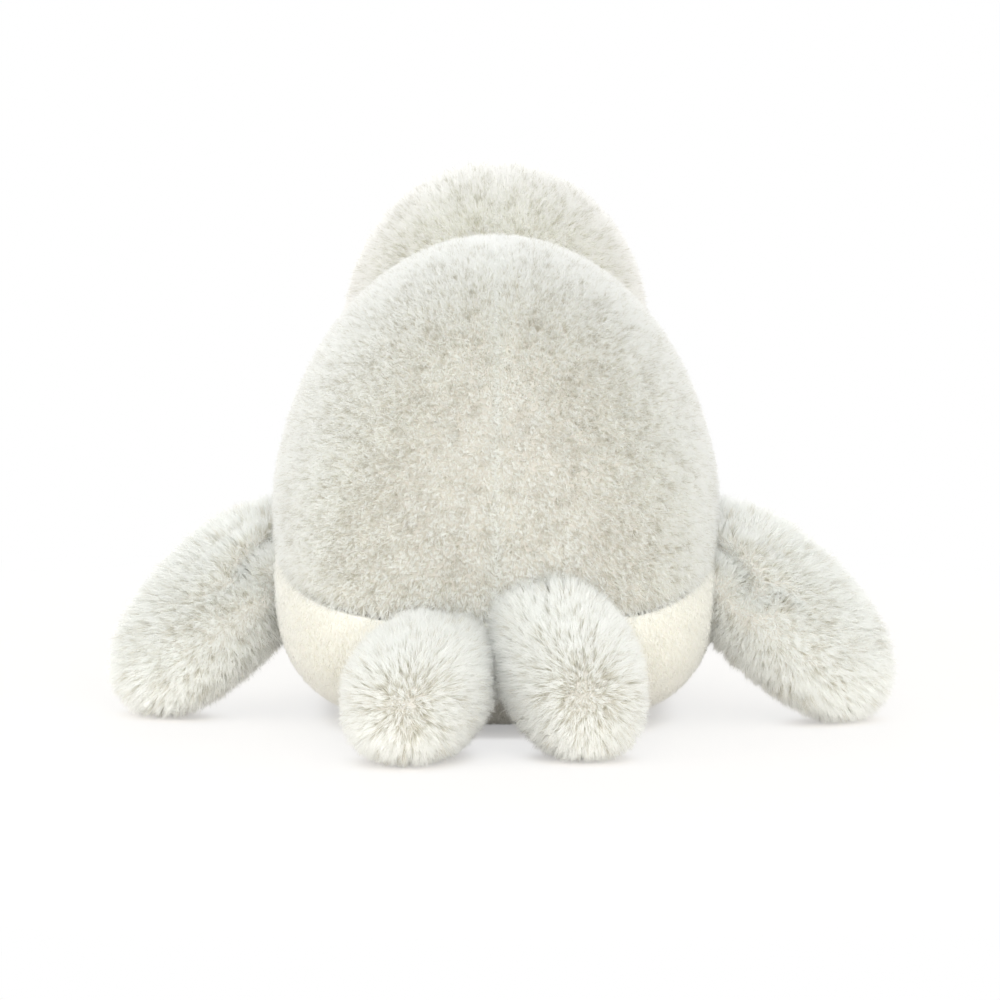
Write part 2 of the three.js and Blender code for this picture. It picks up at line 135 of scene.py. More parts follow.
def unit(vectors):
    return vectors / np.maximum(np.linalg.norm(vectors, axis=-1, keepdims=True), 1e-12)


def smoothStep(x, low, high):
    share = np.clip((x - low) / (high - low), 0.0, 1.0)
    return share * share * (3.0 - 2.0 * share)


# 1 at zero, and less and less on both sides
def bell(distance, width):
    return np.exp(-(distance / width) ** 2)


# the part of a direction that lies in the surface
def alongSurface(vector, normals):
    vector = np.broadcast_to(vector, normals.shape)
    return vector - normals * np.sum(vector * normals, axis=1, keepdims=True)


# a fixed number from 0 to 1 for each whole-number cell
def latticeValues(cells, salt):
    mixed = salt * scramble["salt"]
    for axis, step in enumerate(scramble["cell"]):
        mixed = mixed ^ (cells[..., axis].astype(np.int64) * step)
    mixed = mixed & scramble["mask"]
    for _ in range(2):
        mixed = ((mixed ^ (mixed >> 16)) * scramble["mix"]) & scramble["mask"]
    return (mixed ^ (mixed >> 16)) / scramble["mask"]


# smooth noise from 0 to 1 with lumps of about the given size
def softNoise(points, size, salt):
    scaled = points / size
    base = np.floor(scaled).astype(np.int64)
    share = scaled - base
    share = share * share * (3.0 - 2.0 * share)
    total = np.zeros(len(points))
    for corner in np.ndindex(2, 2, 2):
        weight = np.prod(np.where(np.array(corner) == 1, share, 1.0 - share), axis=1)
        total += weight * latticeValues(base + np.array(corner), salt)
    return total


# the nearest of a jittered grid of tuft centres, and a fixed number for each tuft
def nearestTufts(points, size, salt):
    size = np.array(size, float)
    base = np.floor(points / size).astype(np.int64)
    best = np.full(len(points), 1e9)
    centres = np.zeros_like(points)
    numbers = np.zeros(len(points))
    for corner in np.ndindex(3, 3, 3):
        cell = base + np.array(corner) - 1
        jitter = np.stack([latticeValues(cell, salt + k) for k in range(3)], axis=1)
        place = (cell + jitter) * size
        away = np.sum(((points - place) / size) ** 2, axis=1)
        nearer = away < best
        best[nearer] = away[nearer]
        centres[nearer] = place[nearer]
        numbers[nearer] = latticeValues(cell[nearer], salt + 3)
    return centres, numbers


# Forms of the toy

# how far a rounded form's surface lies from its centre
def reachOf(form, direction, inset=0.0):
    side = form["side"] - inset
    long = np.where(direction[:, 1] < 0, form["front"], form["rear"]) - inset
    tall = np.where(direction[:, 2] > 0, form["up"], form["down"]) - inset
    low = smoothStep(-direction[:, 2], -0.4, 0.4)
    sectionPower = form["sectionUp"] + (form["sectionDown"] - form["sectionUp"]) * low
    planPower = form["planUp"] + (form["planDown"] - form["planUp"]) * low
    section = np.abs(direction[:, 0] / side) ** sectionPower + np.abs(direction[:, 2] / tall) ** sectionPower
    whole = section ** (planPower / sectionPower) + np.abs(direction[:, 1] / long) ** planPower
    return whole ** (-1.0 / planPower)


# how far points lie outside a form, negative inside
def outsideForm(form, points, inset=0.0):
    offset = points - np.array(form["centre"])
    away = np.linalg.norm(offset, axis=1)
    return away - reachOf(form, offset / np.maximum(away, 1e-9)[:, None], inset)


def faceDirection(turn, lift):
    turn, lift = math.radians(turn), math.radians(lift)
    return np.array([math.sin(turn) * math.cos(lift), -math.cos(turn) * math.cos(lift), math.sin(lift)])


muzzleAxis = faceDirection(0, -faceShape["muzzleTilt"])
whiskerPads = [faceDirection(turn, -faceShape["padTilt"])
               for turn in (-faceShape["padApart"], faceShape["padApart"])]


def headReach(direction, inset=0.0):
    def angleTo(axis):
        return np.degrees(np.arccos(np.clip(direction @ axis, -1.0, 1.0)))
    away = angleTo(muzzleAxis) / faceShape["muzzleSpread"]
    swelling = faceShape["muzzleReach"] * np.exp(-(away ** 3))
    for pad in whiskerPads:
        swelling = swelling + faceShape["padReach"] * bell(angleTo(pad), faceShape["padSpread"])
    return reachOf(headShape, direction, inset) + swelling


def outsideHead(points, inset=0.0):
    offset = points - headCentre
    away = np.linalg.norm(offset, axis=1)
    return away - headReach(offset / np.maximum(away, 1e-9)[:, None], inset)


def surfacePoint(form, start, direction):
    inside, outside = 0.0, 4 * (form["front"] + form["rear"])
    for _ in range(40):
        middle = (inside + outside) / 2
        if outsideForm(form, (start + direction * middle)[None])[0] < 0:
            inside = middle
        else:
            outside = middle
    return start + direction * inside


# Rigid placements as 4 x 4 matrices

def placement(origin, across, along, up):
    matrix = np.eye(4)
    matrix[:3, 0], matrix[:3, 1], matrix[:3, 2], matrix[:3, 3] = across, along, up, origin
    return matrix


def turnAbout(point, axis, degrees):
    axis = unit(np.array(axis, float))
    angle = math.radians(degrees)
    cross = np.array([[0, -axis[2], axis[1]], [axis[2], 0, -axis[0]], [-axis[1], axis[0], 0]])
    turn = np.eye(3) + math.sin(angle) * cross + (1 - math.cos(angle)) * cross @ cross
    matrix = np.eye(4)
    matrix[:3, :3] = turn
    matrix[:3, 3] = np.array(point) - turn @ np.array(point)
    return matrix


def moved(points, matrix):
    return points @ matrix[:3, :3].T + matrix[:3, 3]


# Flippers are rounded paddles along their own Y axis, broad along X, with the top at +Z

# half the length of a paddle, and its form before it tapers
def paddleForm(paddle):
    half = (paddle["length"] + paddle["sunk"]) / 2
    return half, {
        "centre": (0.0, 0.0, 0.0), "side": paddle["width"] / 2, "front": half, "rear": half,
        "up": paddle["thick"] / 2, "down": paddle["thick"] / 2,
        "sectionUp": 2.2, "sectionDown": 2.2, "planUp": 2.4, "planDown": 2.4,
    }


# how wide and how thick a paddle is along its length, as shares of the full size
def paddleTaper(paddle, along):
    full = smoothStep(along, *paddleSwell)
    rootWidth = paddle["rootWidth"] / paddle["width"]
    rootThick = paddle["rootThick"] / paddle["thick"]
    return rootWidth + (1 - rootWidth) * full, rootThick + (1 - rootThick) * full


def paddleSurface(paddle, directions, inset=0.0):
    half, form = paddleForm(paddle)
    points = directions * reachOf(form, directions, inset)[:, None]
    along = (points[:, 1] + half) / (2 * half)
    wide, thick = paddleTaper(paddle, along)
    points[:, 0] *= wide
    points[:, 1] += half - paddle["sunk"]
    points[:, 2] = points[:, 2] * thick - paddle["bend"] * along * along
    return points


# even directions over a ball, with the triangles that join them
def roundDirections(steps):
    ball = bmesh.new()
    bmesh.ops.create_icosphere(ball, subdivisions=steps, radius=1.0)
    corners = np.array([v.co for v in ball.verts])
    faces = np.array([[v.index for v in f.verts] for f in ball.faces])
    ball.free()
    return unit(corners), faces


ballFine = roundDirections(6)
ballMiddle = roundDirections(5)


# turns a paddle about its hinge until it just touches the floor
def settled(paddle, matrix, point, axis):
    outer = paddleSurface(paddle, ballMiddle[0])
    low, high = -80.0, 60.0
    for _ in range(30):
        middle = (low + high) / 2
        lowest = moved(outer, turnAbout(point, axis, middle) @ matrix)[:, 2].min()
        low, high = (middle, high) if lowest < 0 else (low, middle)
    return turnAbout(point, axis, high) @ matrix


# matrix, hinge and cutting form of one flipper, worked out on the left and mirrored
def makeLimb(kind, side):
    if kind == "flipper":
        paddle, pose = frontPaddle, frontPaddle["poses"][side]
        start = bodyCentre + backward * pose["behind"] - upward * pose["drop"]
        seat = surfacePoint(bodyShape, start, leftward)
        slope, sweep, roll = (math.radians(v) for v in (paddle["slope"], pose["sweep"], paddle["roll"]))
        axis = np.array([0.0, -math.cos(slope), math.sin(slope)])
        along = np.array([math.cos(sweep), math.sin(sweep), 0.0])
        level = np.array([-math.sin(sweep), math.cos(sweep), 0.0])
        top = level * math.sin(roll) + upward * math.cos(roll)
        point = seat + top * paddle["rootThick"] / 2
        middle = None
    else:
        paddle, pose = tailPaddle, tailPaddle["poses"][side]
        middle = tailPaddle["middle"] * (1 if side == "left" else -1)
        start = np.array([middle + pose["apart"], bodyCentre[1], pose["height"]])
        crease = surfacePoint(bodyShape, start, backward)
        splay = math.radians(pose["splay"])
        axis = leftward
        along = np.array([math.sin(splay), math.cos(splay), 0.0])
        top = upward
        seat = crease - upward * paddle["rootThick"] / 2
        point = crease + backward * fabric["swingGap"]
    matrix = settled(paddle, placement(seat, np.cross(along, top), along, top), point, axis)
    flip = np.diag([1.0 if side == "left" else -1.0, 1.0, 1.0, 1.0])
    return {
        "kind": kind, "side": side, "paddle": paddle, "matrix": flip @ matrix, "flip": flip, "middle": middle,
        "hinge": point, "axis": axis, "top": (flip @ matrix)[:3, 2], "along": (flip @ matrix)[:3, 1],
        "seat": (flip @ matrix)[:3, 3], "mirrored": side == "right",
        "out": flip[:3, :3] @ (leftward if kind == "flipper" else backward),
        "body": f"{side}_flipper" if kind == "flipper" else f"{side}_tail_flipper",
    }


# how far points of a limb stay outside the body over its whole swing
def clearOfBody(limb, points, inset=0.0):
    least = np.full(len(points), 1e9)
    local = moved(points, limb["flip"])
    for share in (0.0, 0.4, 0.7, 1.0):
        turned = moved(local, turnAbout(limb["hinge"], limb["axis"], share * limb["paddle"]["lift"]))
        least = np.minimum(least, outsideForm(bodyShape, turned, inset - fabric["swingGap"]))
    return least


# roughly how far points lie outside a limb, negative inside
def outsidePaddle(limb, points, inset=0.0):
    paddle = limb["paddle"]
    half, form = paddleForm(paddle)
    local = moved(points, np.linalg.inv(limb["matrix"]))
    y = local[:, 1] - (half - paddle["sunk"])
    along = (y + half) / (2 * half)
    wide, thick = paddleTaper(paddle, along)
    z = local[:, 2] + paddle["bend"] * np.clip(along, 0, 1) ** 2
    return outsideForm(form, np.stack([local[:, 0] / wide, y, z / thick], axis=1), inset)


limbs = {f"{side}_{kind}": makeLimb(kind, side) for kind in ("flipper", "tail") for side in ("left", "right")}
print("limbs settled on the floor")


# Meshes

def addObject(name, data):
    piece = bpy.data.objects.new(name, data)
    bpy.context.scene.collection.objects.link(piece)
    return piece


# an object in the row frame from points in mm and faces
def makeObject(name, points, faces, material):
    mesh = bpy.data.meshes.new(name)
    placed = (np.asarray(points) + frameShift) * millimetre
    faces = np.asarray(faces)
    mesh.vertices.add(len(placed))
    mesh.vertices.foreach_set("co", placed.astype(np.float32).ravel())
    mesh.loops.add(faces.size)
    mesh.loops.foreach_set("vertex_index", faces.astype(np.int32).ravel())
    mesh.polygons.add(len(faces))
    mesh.polygons.foreach_set("loop_start", (np.arange(len(faces)) * faces.shape[1]).astype(np.int32))
    mesh.polygons.foreach_set("use_smooth", np.ones(len(faces), bool))
    mesh.update(calc_edges=True)
    mesh.materials.append(material)
    return addObject(name, mesh)


# the normal of each triangle, as long as twice its area
def facing(points, faces):
    corners = points[faces]
    return np.cross(corners[:, 1] - corners[:, 0], corners[:, 2] - corners[:, 0])


def vertexNormals(points, faces):
    normals, across = np.zeros_like(points), facing(points, faces)
    for k in range(3):
        np.add.at(normals, faces[:, k], across)
    return unit(normals)


# turns the faces of a closed solid so that they face out
def turnedOut(points, faces):
    corners = points[faces]
    volume = np.sum(corners[:, 0] * np.cross(corners[:, 1], corners[:, 2]))
    return points, faces if volume > 0 else faces[:, ::-1]


# keeps the part of a triangle mesh where the field is positive
def trimmed(points, faces, field):
    inside = field > 0
    count = inside[faces].sum(axis=1)
    kept = [faces[count == 3]]
    extra, made = [], {}

    def crossing(a, b):
        key = (min(a, b), max(a, b))
        if key not in made:
            share = field[a] / (field[a] - field[b])
            made[key] = len(points) + len(extra)
            extra.append(points[a] + (points[b] - points[a]) * share)
        return made[key]

    added = []
    for face in faces[(count == 1) | (count == 2)]:
        turn = [k for k in range(3) if inside[face[k]] and not inside[face[(k + 2) % 3]]][0]
        a, b, c = (int(face[(turn + k) % 3]) for k in range(3))
        if inside[b]:
            bc, ca = crossing(b, c), crossing(c, a)
            added += [(a, b, bc), (a, bc, ca)]
        else:
            added.append((a, crossing(a, b), crossing(c, a)))
    if added:
        kept.append(np.array(added))
    every = np.concatenate(kept)
    points = np.concatenate([points, np.array(extra).reshape(-1, 3)])
    used, compact = np.unique(every, return_inverse=True)
    return points[used], compact.reshape(-1, 3)


# closes an open patch into a cloth of the given thickness, towards its inside
def thickened(points, faces, depth):
    normals = vertexNormals(points, faces)
    edges = np.concatenate([faces[:, [0, 1]], faces[:, [1, 2]], faces[:, [2, 0]]])
    reverse = {(b, a) for a, b in map(tuple, edges)}
    rim = np.array([edge for edge in map(tuple, edges) if edge not in reverse])
    count = len(points)
    sides = [faces, faces[:, ::-1] + count]
    if len(rim):
        sides.append(np.stack([rim[:, 1], rim[:, 0], rim[:, 0] + count], axis=1))
        sides.append(np.stack([rim[:, 1], rim[:, 0] + count, rim[:, 1] + count], axis=1))
    return np.concatenate([points, points - normals * depth]), np.concatenate(sides)


# several point and face arrays as one pair
def joined(parts):
    points, faces, start = [], [], 0
    for partPoints, partFaces in parts:
        points.append(partPoints)
        faces.append(np.asarray(partFaces) + start)
        start += len(partPoints)
    return np.concatenate(points), np.concatenate(faces)


# Node groups and materials

# a colour as it shows on the screen, from 0 to 255, as the shader wants it
def shade(red, green, blue):
    def plain(value):
        value = value / 255.0
        return value / 12.92 if value <= 0.04045 else ((value + 0.055) / 1.055) ** 2.4
    return (plain(red), plain(green), plain(blue), 1.0)


# puts values or links on a node's inputs
def wire(tree, node, inputs):
    for label, value in inputs.items():
        if hasattr(value, "links"):
            tree.links.new(value, node.inputs[label])
        else:
            node.inputs[label].default_value = value
    return node.outputs


def addNode(tree, kind, inputs):
    return wire(tree, tree.nodes.new(f"ShaderNode{kind}"), inputs)


def newGroup(name, inputs, outputs):
    group = bpy.data.node_groups.new(name, "ShaderNodeTree")
    for label, kind, value in inputs:
        socket = group.interface.new_socket(label, in_out="INPUT", socket_type=f"NodeSocket{kind}")
        socket.default_value = value
    for label, kind in outputs:
        group.interface.new_socket(label, in_out="OUTPUT", socket_type=f"NodeSocket{kind}")
    return group, group.nodes.new("NodeGroupInput").outputs, group.nodes.new("NodeGroupOutput")


def mixColors(tree, factor, low, high):
    mix = tree.nodes.new("ShaderNodeMix")
    mix.data_type = "RGBA"
    return wire(tree, mix, {0: factor, 6: low, 7: high})[2]


def ramped(tree, value, low, high, toLow=0.0, toHigh=1.0):
    node = tree.nodes.new("ShaderNodeMapRange")
    node.interpolation_type = "SMOOTHSTEP"
    return wire(tree, node, {0: value, 1: low, 2: high, 3: toLow, 4: toHigh})[0]


def combined(tree, operation, first, second, clamp=False):
    node = tree.nodes.new("ShaderNodeMath")
    node.operation = operation
    node.use_clamp = clamp
    return wire(tree, node, {0: first, 1: second})[0]


# colour of a pile strand from its tone and the place along it; tones from 0.75 up also darken the tip, and
# only the dark flecks of painted shadow reach them
def makeStrandColour():
    group, given, out = newGroup("strandColour", [
        ("Root Pale", "Color", shade(214, 211, 203)), ("Root Warm", "Color", shade(186, 176, 162)),
        ("Tip Pale", "Color", shade(244, 245, 241)), ("Tip Painted Shade", "Color", shade(226, 222, 212)),
        ("Tone", "Float", 0.5), ("Along", "Float", 1.0),
    ], [("Color", "Color")])
    root = mixColors(group, given["Tone"], given["Root Pale"], given["Root Warm"])
    paintedShadeShare = ramped(group, given["Tone"], 0.75, 0.95)
    tip = mixColors(group, paintedShadeShare, given["Tip Pale"], given["Tip Painted Shade"])
    share = ramped(group, given["Along"], 0.1, 0.65)
    wire(group, out, {"Color": mixColors(group, share, root, tip)})
    return group


# over and under threads of a plain weave or knit
def makeWeave():
    group, given, out = newGroup("weave", [
        ("Color", "Color", shade(230, 226, 216)), ("Gap Color", "Color", shade(190, 184, 172)),
        ("Threads", "Float", 900.0), ("Unevenness", "Float", 0.3),
    ], [("Color", "Color"), ("Height", "Float")])
    place = addNode(group, "TexCoord", {})["Object"]
    waves = []
    for direction in ("X", "Y", "Z"):
        wave = group.nodes.new("ShaderNodeTexWave")
        wave.bands_direction = direction
        inputs = {"Vector": place, "Scale": given["Threads"], "Distortion": 0.6, "Detail": 1.0}
        waves.append(wire(group, wave, inputs)["Fac"])
    both = combined(group, "MAXIMUM", combined(group, "MULTIPLY", waves[0], waves[1]), waves[2])
    noise = addNode(group, "TexNoise", {"Vector": place, "Scale": 60.0})["Fac"]
    uneven = combined(group, "MULTIPLY", noise, given["Unevenness"])
    share = combined(group, "SUBTRACT", both, uneven, clamp=True)
    wire(group, out, {"Color": mixColors(group, share, given["Gap Color"], given["Color"]), "Height": share})
    return group


# cloudy change of colour with a fine grain in the surface
def makeGrain():
    group, given, out = newGroup("grain", [
        ("Color", "Color", shade(230, 230, 226)), ("Second Color", "Color", shade(214, 214, 208)),
        ("Cloud Scale", "Float", 40.0), ("Grain Scale", "Float", 900.0),
        ("Smooth", "Float", 0.3), ("Rough", "Float", 0.6),
    ], [("Color", "Color"), ("Roughness", "Float"), ("Height", "Float")])
    place = addNode(group, "TexCoord", {})["Object"]
    cloud, fine = (
        addNode(group, "TexNoise", {"Vector": place, "Scale": given[scale], "Detail": detail})["Fac"]
        for scale, detail in (("Cloud Scale", 4.0), ("Grain Scale", 2.0)))
    share = ramped(group, cloud, 0.35, 0.65)
    wire(group, out, {
        "Color": mixColors(group, share, given["Color"], given["Second Color"]), "Height": fine,
        "Roughness": addNode(group, "Mix", {0: cloud, 2: given["Smooth"], 3: given["Rough"]})[0],
    })
    return group


strandColour = makeStrandColour()
weave = makeWeave()
grain = makeGrain()


def startMaterial(name, settings):
    material = bpy.data.materials.new(name)
    material.use_nodes = True
    shader = material.node_tree.nodes["Principled BSDF"]
    wire(material.node_tree, shader, settings)
    return material, material.node_tree, shader


def placeGroup(tree, group, inputs):
    node = tree.nodes.new("ShaderNodeGroup")
    node.node_tree = group
    return wire(tree, node, inputs)


def bumped(tree, height, strength, distance):
    return addNode(tree, "Bump", {"Height": height, "Strength": strength, "Distance": distance})["Normal"]


def pileMaterial(name, colours):
    material, tree, shader = startMaterial(name, {
        "Roughness": 0.9, "Specular IOR Level": 0.2, "Sheen Weight": 0.25, "Sheen Roughness": 0.5})
    inputs = {label: shade(*colour) for label, colour in zip(pileLabels, colours)}
    for label in ("Tone", "Along"):
        attribute = tree.nodes.new("ShaderNodeAttribute")
        attribute.attribute_name = label.lower()
        inputs[label] = attribute.outputs["Fac"]
    colour = placeGroup(tree, strandColour, inputs)["Color"]
    wire(tree, shader, {"Base Color": colour})
    # light also passes through the thin fibres
    through = addNode(tree, "BsdfTranslucent", {"Color": colour})[0]
    both = addNode(tree, "MixShader", {0: 0.7, 1: shader.outputs[0], 2: through})[0]
    wire(tree, tree.nodes["Material Output"], {"Surface": both})
    return material


def clothMaterial(name, thread, gap, threads, strength):
    material, tree, shader = startMaterial(name, {
        "Roughness": 0.95, "Specular IOR Level": 0.15, "Sheen Weight": 0.2})
    made = placeGroup(tree, weave, {"Color": shade(*thread), "Gap Color": shade(*gap), "Threads": threads})
    wire(tree, shader, {"Base Color": made["Color"],
                        "Normal": bumped(tree, made["Height"], strength, 0.0004)})
    return material


def grainMaterial(name, first, second, scales, roughness, bump, settings):
    material, tree, shader = startMaterial(name, settings)
    made = placeGroup(tree, grain, {
        "Color": shade(*first), "Second Color": shade(*second), "Cloud Scale": scales[0],
        "Grain Scale": scales[1], "Smooth": roughness[0], "Rough": roughness[1]})
    wire(tree, shader, {"Base Color": made["Color"], "Roughness": made["Roughness"],
                        "Normal": bumped(tree, made["Height"], *bump)})
    return material


# the last tip colour of each pile is reached only by the dark flecks, and is painted shadow
pileLabels = ("Root Pale", "Root Warm", "Tip Pale", "Tip Painted Shade")
pileShades = {
    "grey": ("grey pile", ((252, 252, 247), (233, 230, 221), (253, 254, 253), (225, 224, 217))),
    # the head's pile is paler than the grey pile: painted light against the shade the body casts on it
    "head": ("head pile painted lighter", ((254, 255, 250), (240, 239, 229), (255, 255, 254), (225, 224, 216))),
    # the pale grey pile's warm root colour is kept dark partly as painted shade on the tails' tops
    "limb": ("pale grey pile", ((254, 254, 251), (222, 220, 209), (254, 255, 254), (234, 232, 225))),
    "cream": ("cream pile", ((254, 254, 250), (252, 251, 244), (255, 255, 253), (254, 254, 250))),
}
clothShades = {    # colours of the threads and the gaps, threads per metre and strength of the bump
    "greyCloth": ("grey backing cloth", (248, 246, 242), (240, 236, 229), 1400.0, 0.4),
    "creamCloth": ("cream backing cloth", (253, 252, 248), (249, 246, 238), 1400.0, 0.4),
    "pouchCloth": ("pouch cloth", (226, 221, 208), (196, 188, 170), 1000.0, 0.7),
    "thread": ("mouth thread", (86, 74, 68), (54, 45, 41), 2600.0, 0.8),
}
grainShades = {    # two colours, scales of clouds and grain, least and most roughness, bump, other settings
    "fibreFill": ("fibre filling", (246, 247, 247), (232, 233, 234), (90.0, 1400.0), (0.9, 1.0),
                  (0.8, 0.0008), {"Sheen Weight": 0.4}),
    "pellets": ("pellets", (240, 240, 236), (226, 226, 220), (180.0, 2500.0), (0.35, 0.5),
                (0.1, 0.0001), {}),
    "eye": ("black eye plastic", (16, 13, 12), (22, 18, 16), (120.0, 900.0), (0.04, 0.12),
            (0.01, 0.00002), {"Coat Weight": 0.6, "Coat Roughness": 0.03}),
    "nose": ("nose plastic", (44, 37, 36), (56, 48, 46), (160.0, 2600.0), (0.3, 0.45),
             (0.25, 0.00008), {}),
    "washer": ("washer plastic", (233, 233, 228), (222, 222, 215), (100.0, 2000.0), (0.45, 0.6),
               (0.15, 0.0001), {}),
}
materials = {f"{key}Pile": pileMaterial(*row) for key, row in pileShades.items()}
materials.update({key: clothMaterial(*row) for key, row in clothShades.items()})
materials.update({key: grainMaterial(*row) for key, row in grainShades.items()})
print("materials made")


# Cloth panels

creamRise = math.radians(bodySeams["creamRise"])
creamNormal = np.array([0.0, math.sin(creamRise), math.cos(creamRise)])
creamPlane = float(creamNormal @ np.array([0.0, bodyCentre[1], bodySeams["creamHeight"]]))
chinHeight = headCentre[2] - faceShape["chinDrop"]
muzzlePlane = float(muzzleAxis @ headCentre) + faceShape["muzzleSeam"]
halfSeam = fabric["seamGap"] / 2


def pinch(distance):
    return bodySeams["pinchDepth"] * bell(distance, bodySeams["pinchWidth"])


# 0 on the negative side of a seam and 1 on the positive side
def sideOf(field):
    return smoothStep(field, -2.0, 2.0)


# signed distances to the body's seams
def bodyField(points):
    cream = points @ creamNormal - creamPlane
    dart = np.abs(points[:, 0]) - bodySeams["dartApart"] - bodySeams["dartSlope"] * cream
    return {
        "back": points[:, 0], "cream": cream, "cross": points[:, 1] - bodySeams["crossY"],
        "dart": np.where(points[:, 1] > bodySeams["dartFrom"], dart, farAway),
    }


def bodySurface(directions, inset):
    points = bodyCentre + directions * reachOf(bodyShape, directions, inset)[:, None]
    seams = bodyField(points)
    grey = sideOf(seams["cream"])
    depth = np.maximum(pinch(seams["cream"]), grey * bodySeams["faintPinch"] * pinch(seams["back"]))
    depth = np.maximum(depth, (1 - grey) * pinch(seams["cross"]))
    depth = np.maximum(depth, (1 - grey) * pinch(seams["dart"] * bodySeams["dartSharp"]))
    points -= directions * depth[:, None]
    points[:, 2] = np.maximum(points[:, 2], max(inset - bodySeams["seatLift"], 0.0))
    return points


def headField(points):
    return {
        "muzzle": points @ muzzleAxis - muzzlePlane, "chin": points[:, 2] - chinHeight,
        "crown": points[:, 0],
    }


def headSurface(directions, inset):
    points = headCentre + directions * headReach(directions, inset)[:, None]
    seams = headField(points)
    rest = sideOf(-seams["muzzle"])
    depth = np.maximum(pinch(seams["muzzle"]), rest * pinch(seams["chin"]))
    crown = rest * sideOf(seams["chin"]) * bodySeams["faintPinch"] * pinch(seams["crown"])
    return points - directions * np.maximum(depth, crown)[:, None]


def limbSurface(limb, directions, inset):
    points = moved(paddleSurface(limb["paddle"], directions, inset), limb["matrix"])
    middle = limb["seat"] + 0.5 * limb["paddle"]["length"] * limb["along"]
    inward = unit(middle + np.outer((points - middle) @ limb["along"], limb["along"]) - points)
    points += inward * (pinch(limbSeam(limb, points)) + gathers(limb, points))[:, None]
    points[:, 2] = np.maximum(points[:, 2], inset)
    return points


limbFolds = {
    "flipper": {"depth": 3.0, "start": 8.0, "run": 14.0, "count": 7, "crease": 2.7, "creaseDepth": 6.0},
    "tail": {"depth": 1.2, "start": 4.0, "run": 9.0, "count": 6, "crease": 0.0, "creaseDepth": 0.0},
}


# folds where a limb's fabric is gathered into its root seam, and one longer crease
def gathers(limb, points):
    fold = limbFolds[limb["kind"]]
    offset = points - limb["seat"]
    across = np.cross(limb["along"], limb["top"]) * limb["flip"][0, 0]
    turn = np.arctan2(offset @ limb["top"], offset @ across)
    out = offset @ limb["along"]
    wave = 0.5 + 0.5 * np.cos(fold["count"] * turn + 3.0 * softNoise(points, 16.0, 51))
    bent = turn - fold["crease"] + 0.5 * (softNoise(points, 9.0, 52) - 0.5)
    run = 1.0 - smoothStep(out, fold["start"], fold["start"] + 3.0 * fold["run"])
    return (fold["depth"] * bell(out - fold["start"], fold["run"]) * wave
            + fold["creaseDepth"] * run * bell(bent, 0.2))


def limbSeam(limb, points):
    return (points - limb["seat"]) @ limb["top"] + limb["paddle"]["bend"] / 3


# a mirrored limb's faces turn round, so that they face out again
def facingOut(limb):
    directions, faces = ballMiddle
    return directions, faces[:, ::-1] if limb["mirrored"] else faces


# distance to the middle plane between the two tail flippers, on the limb's own side
def limbMiddle(limb, points):
    if limb["middle"] is None:
        return np.full(len(points), farAway)
    return (points[:, 0] * limb["flip"][0, 0]) - limb["middle"]


# each panel's body and colour, and the side of each seam on which it lies
panelPlans = {
    "back_left": ("body", "grey", {"cream": 1, "back": 1}),
    "back_right": ("body", "grey", {"cream": 1, "back": -1}),
    "belly": ("body", "cream", {"cream": -1, "cross": 1}),
    "chest": ("body", "cream", {"cream": -1, "cross": -1}),
    "head_left": ("head", "grey", {"muzzle": -1, "chin": 1, "crown": 1}),
    "head_right": ("head", "grey", {"muzzle": -1, "chin": 1, "crown": -1}),
    "muzzle": ("head", "cream", {"muzzle": 1}),
    "chin": ("head", "cream", {"muzzle": -1, "chin": -1}),
}
closedSeams = ("back", "crown")     # the halves meet here without a gap


def mainPanel(body, colour, sides):
    if body == "body":
        surfaceAt, fieldsAt, (directions, faces) = bodySurface, bodyField, ballFine
    else:
        surfaceAt, fieldsAt, (directions, faces) = headSurface, headField, ballMiddle
    points = surfaceAt(directions, fabric["pileDepth"][colour])
    if body == "body":
        points, faces = trimmed(points, faces, outsideForm(headShape, points, -fabric["swingGap"]))
    for seam, side in sides.items():
        gap = 0.0 if seam in closedSeams else halfSeam
        points, faces = trimmed(points, faces, side * fieldsAt(points)[seam] - gap)
    return points, faces


def limbPanel(limb, side):
    depth = fabric["pileDepth"]["grey"]
    directions, faces = facingOut(limb)
    points = limbSurface(limb, directions, depth)
    points, faces = trimmed(points, faces, outsideForm(bodyShape, points, depth + 0.2))
    points, faces = trimmed(points, faces, side * limbSeam(limb, points))
    return trimmed(points, faces, limbMiddle(limb, points) - halfSeam)


# mesh, node, body and colour of each panel
panels = {name: (mainPanel(*plan), f"{name}_panel", *plan[:2]) for name, plan in panelPlans.items()}
for limbName, limb in limbs.items():
    for half, side in (("top", 1), ("underside", -1)):
        name = f"{limbName}_{half}"
        panels[name] = (limbPanel(limb, side), name, limb["body"], "grey")
limbOfBody = {limb["body"]: limb for limb in limbs.values()}


# rides a cover on its body; a limb's cover is left on its own with its placement baked in
def settle(piece, body):
    limb = limbOfBody.get(body)
    if limb is None:
        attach(piece, body)
        return
    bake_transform(piece)


for panelName, (mesh, node, body, colour) in panels.items():
    cloth = makeObject(f"{panelName}_cloth", *thickened(*mesh, fabric["cloth"][colour]),
                       materials[f"{colour}Cloth"])
    settle(cloth, body)
    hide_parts(node)
print("cloth panels:", {name: len(mesh[1]) for name, (mesh, *_) in panels.items()})


# Face buttons: eyes and nose, with their shanks and washers

def skinAt(turn, lift, inset):
    direction = faceDirection(turn, lift)
    return headCentre + direction * headReach(direction[None], inset)[0]


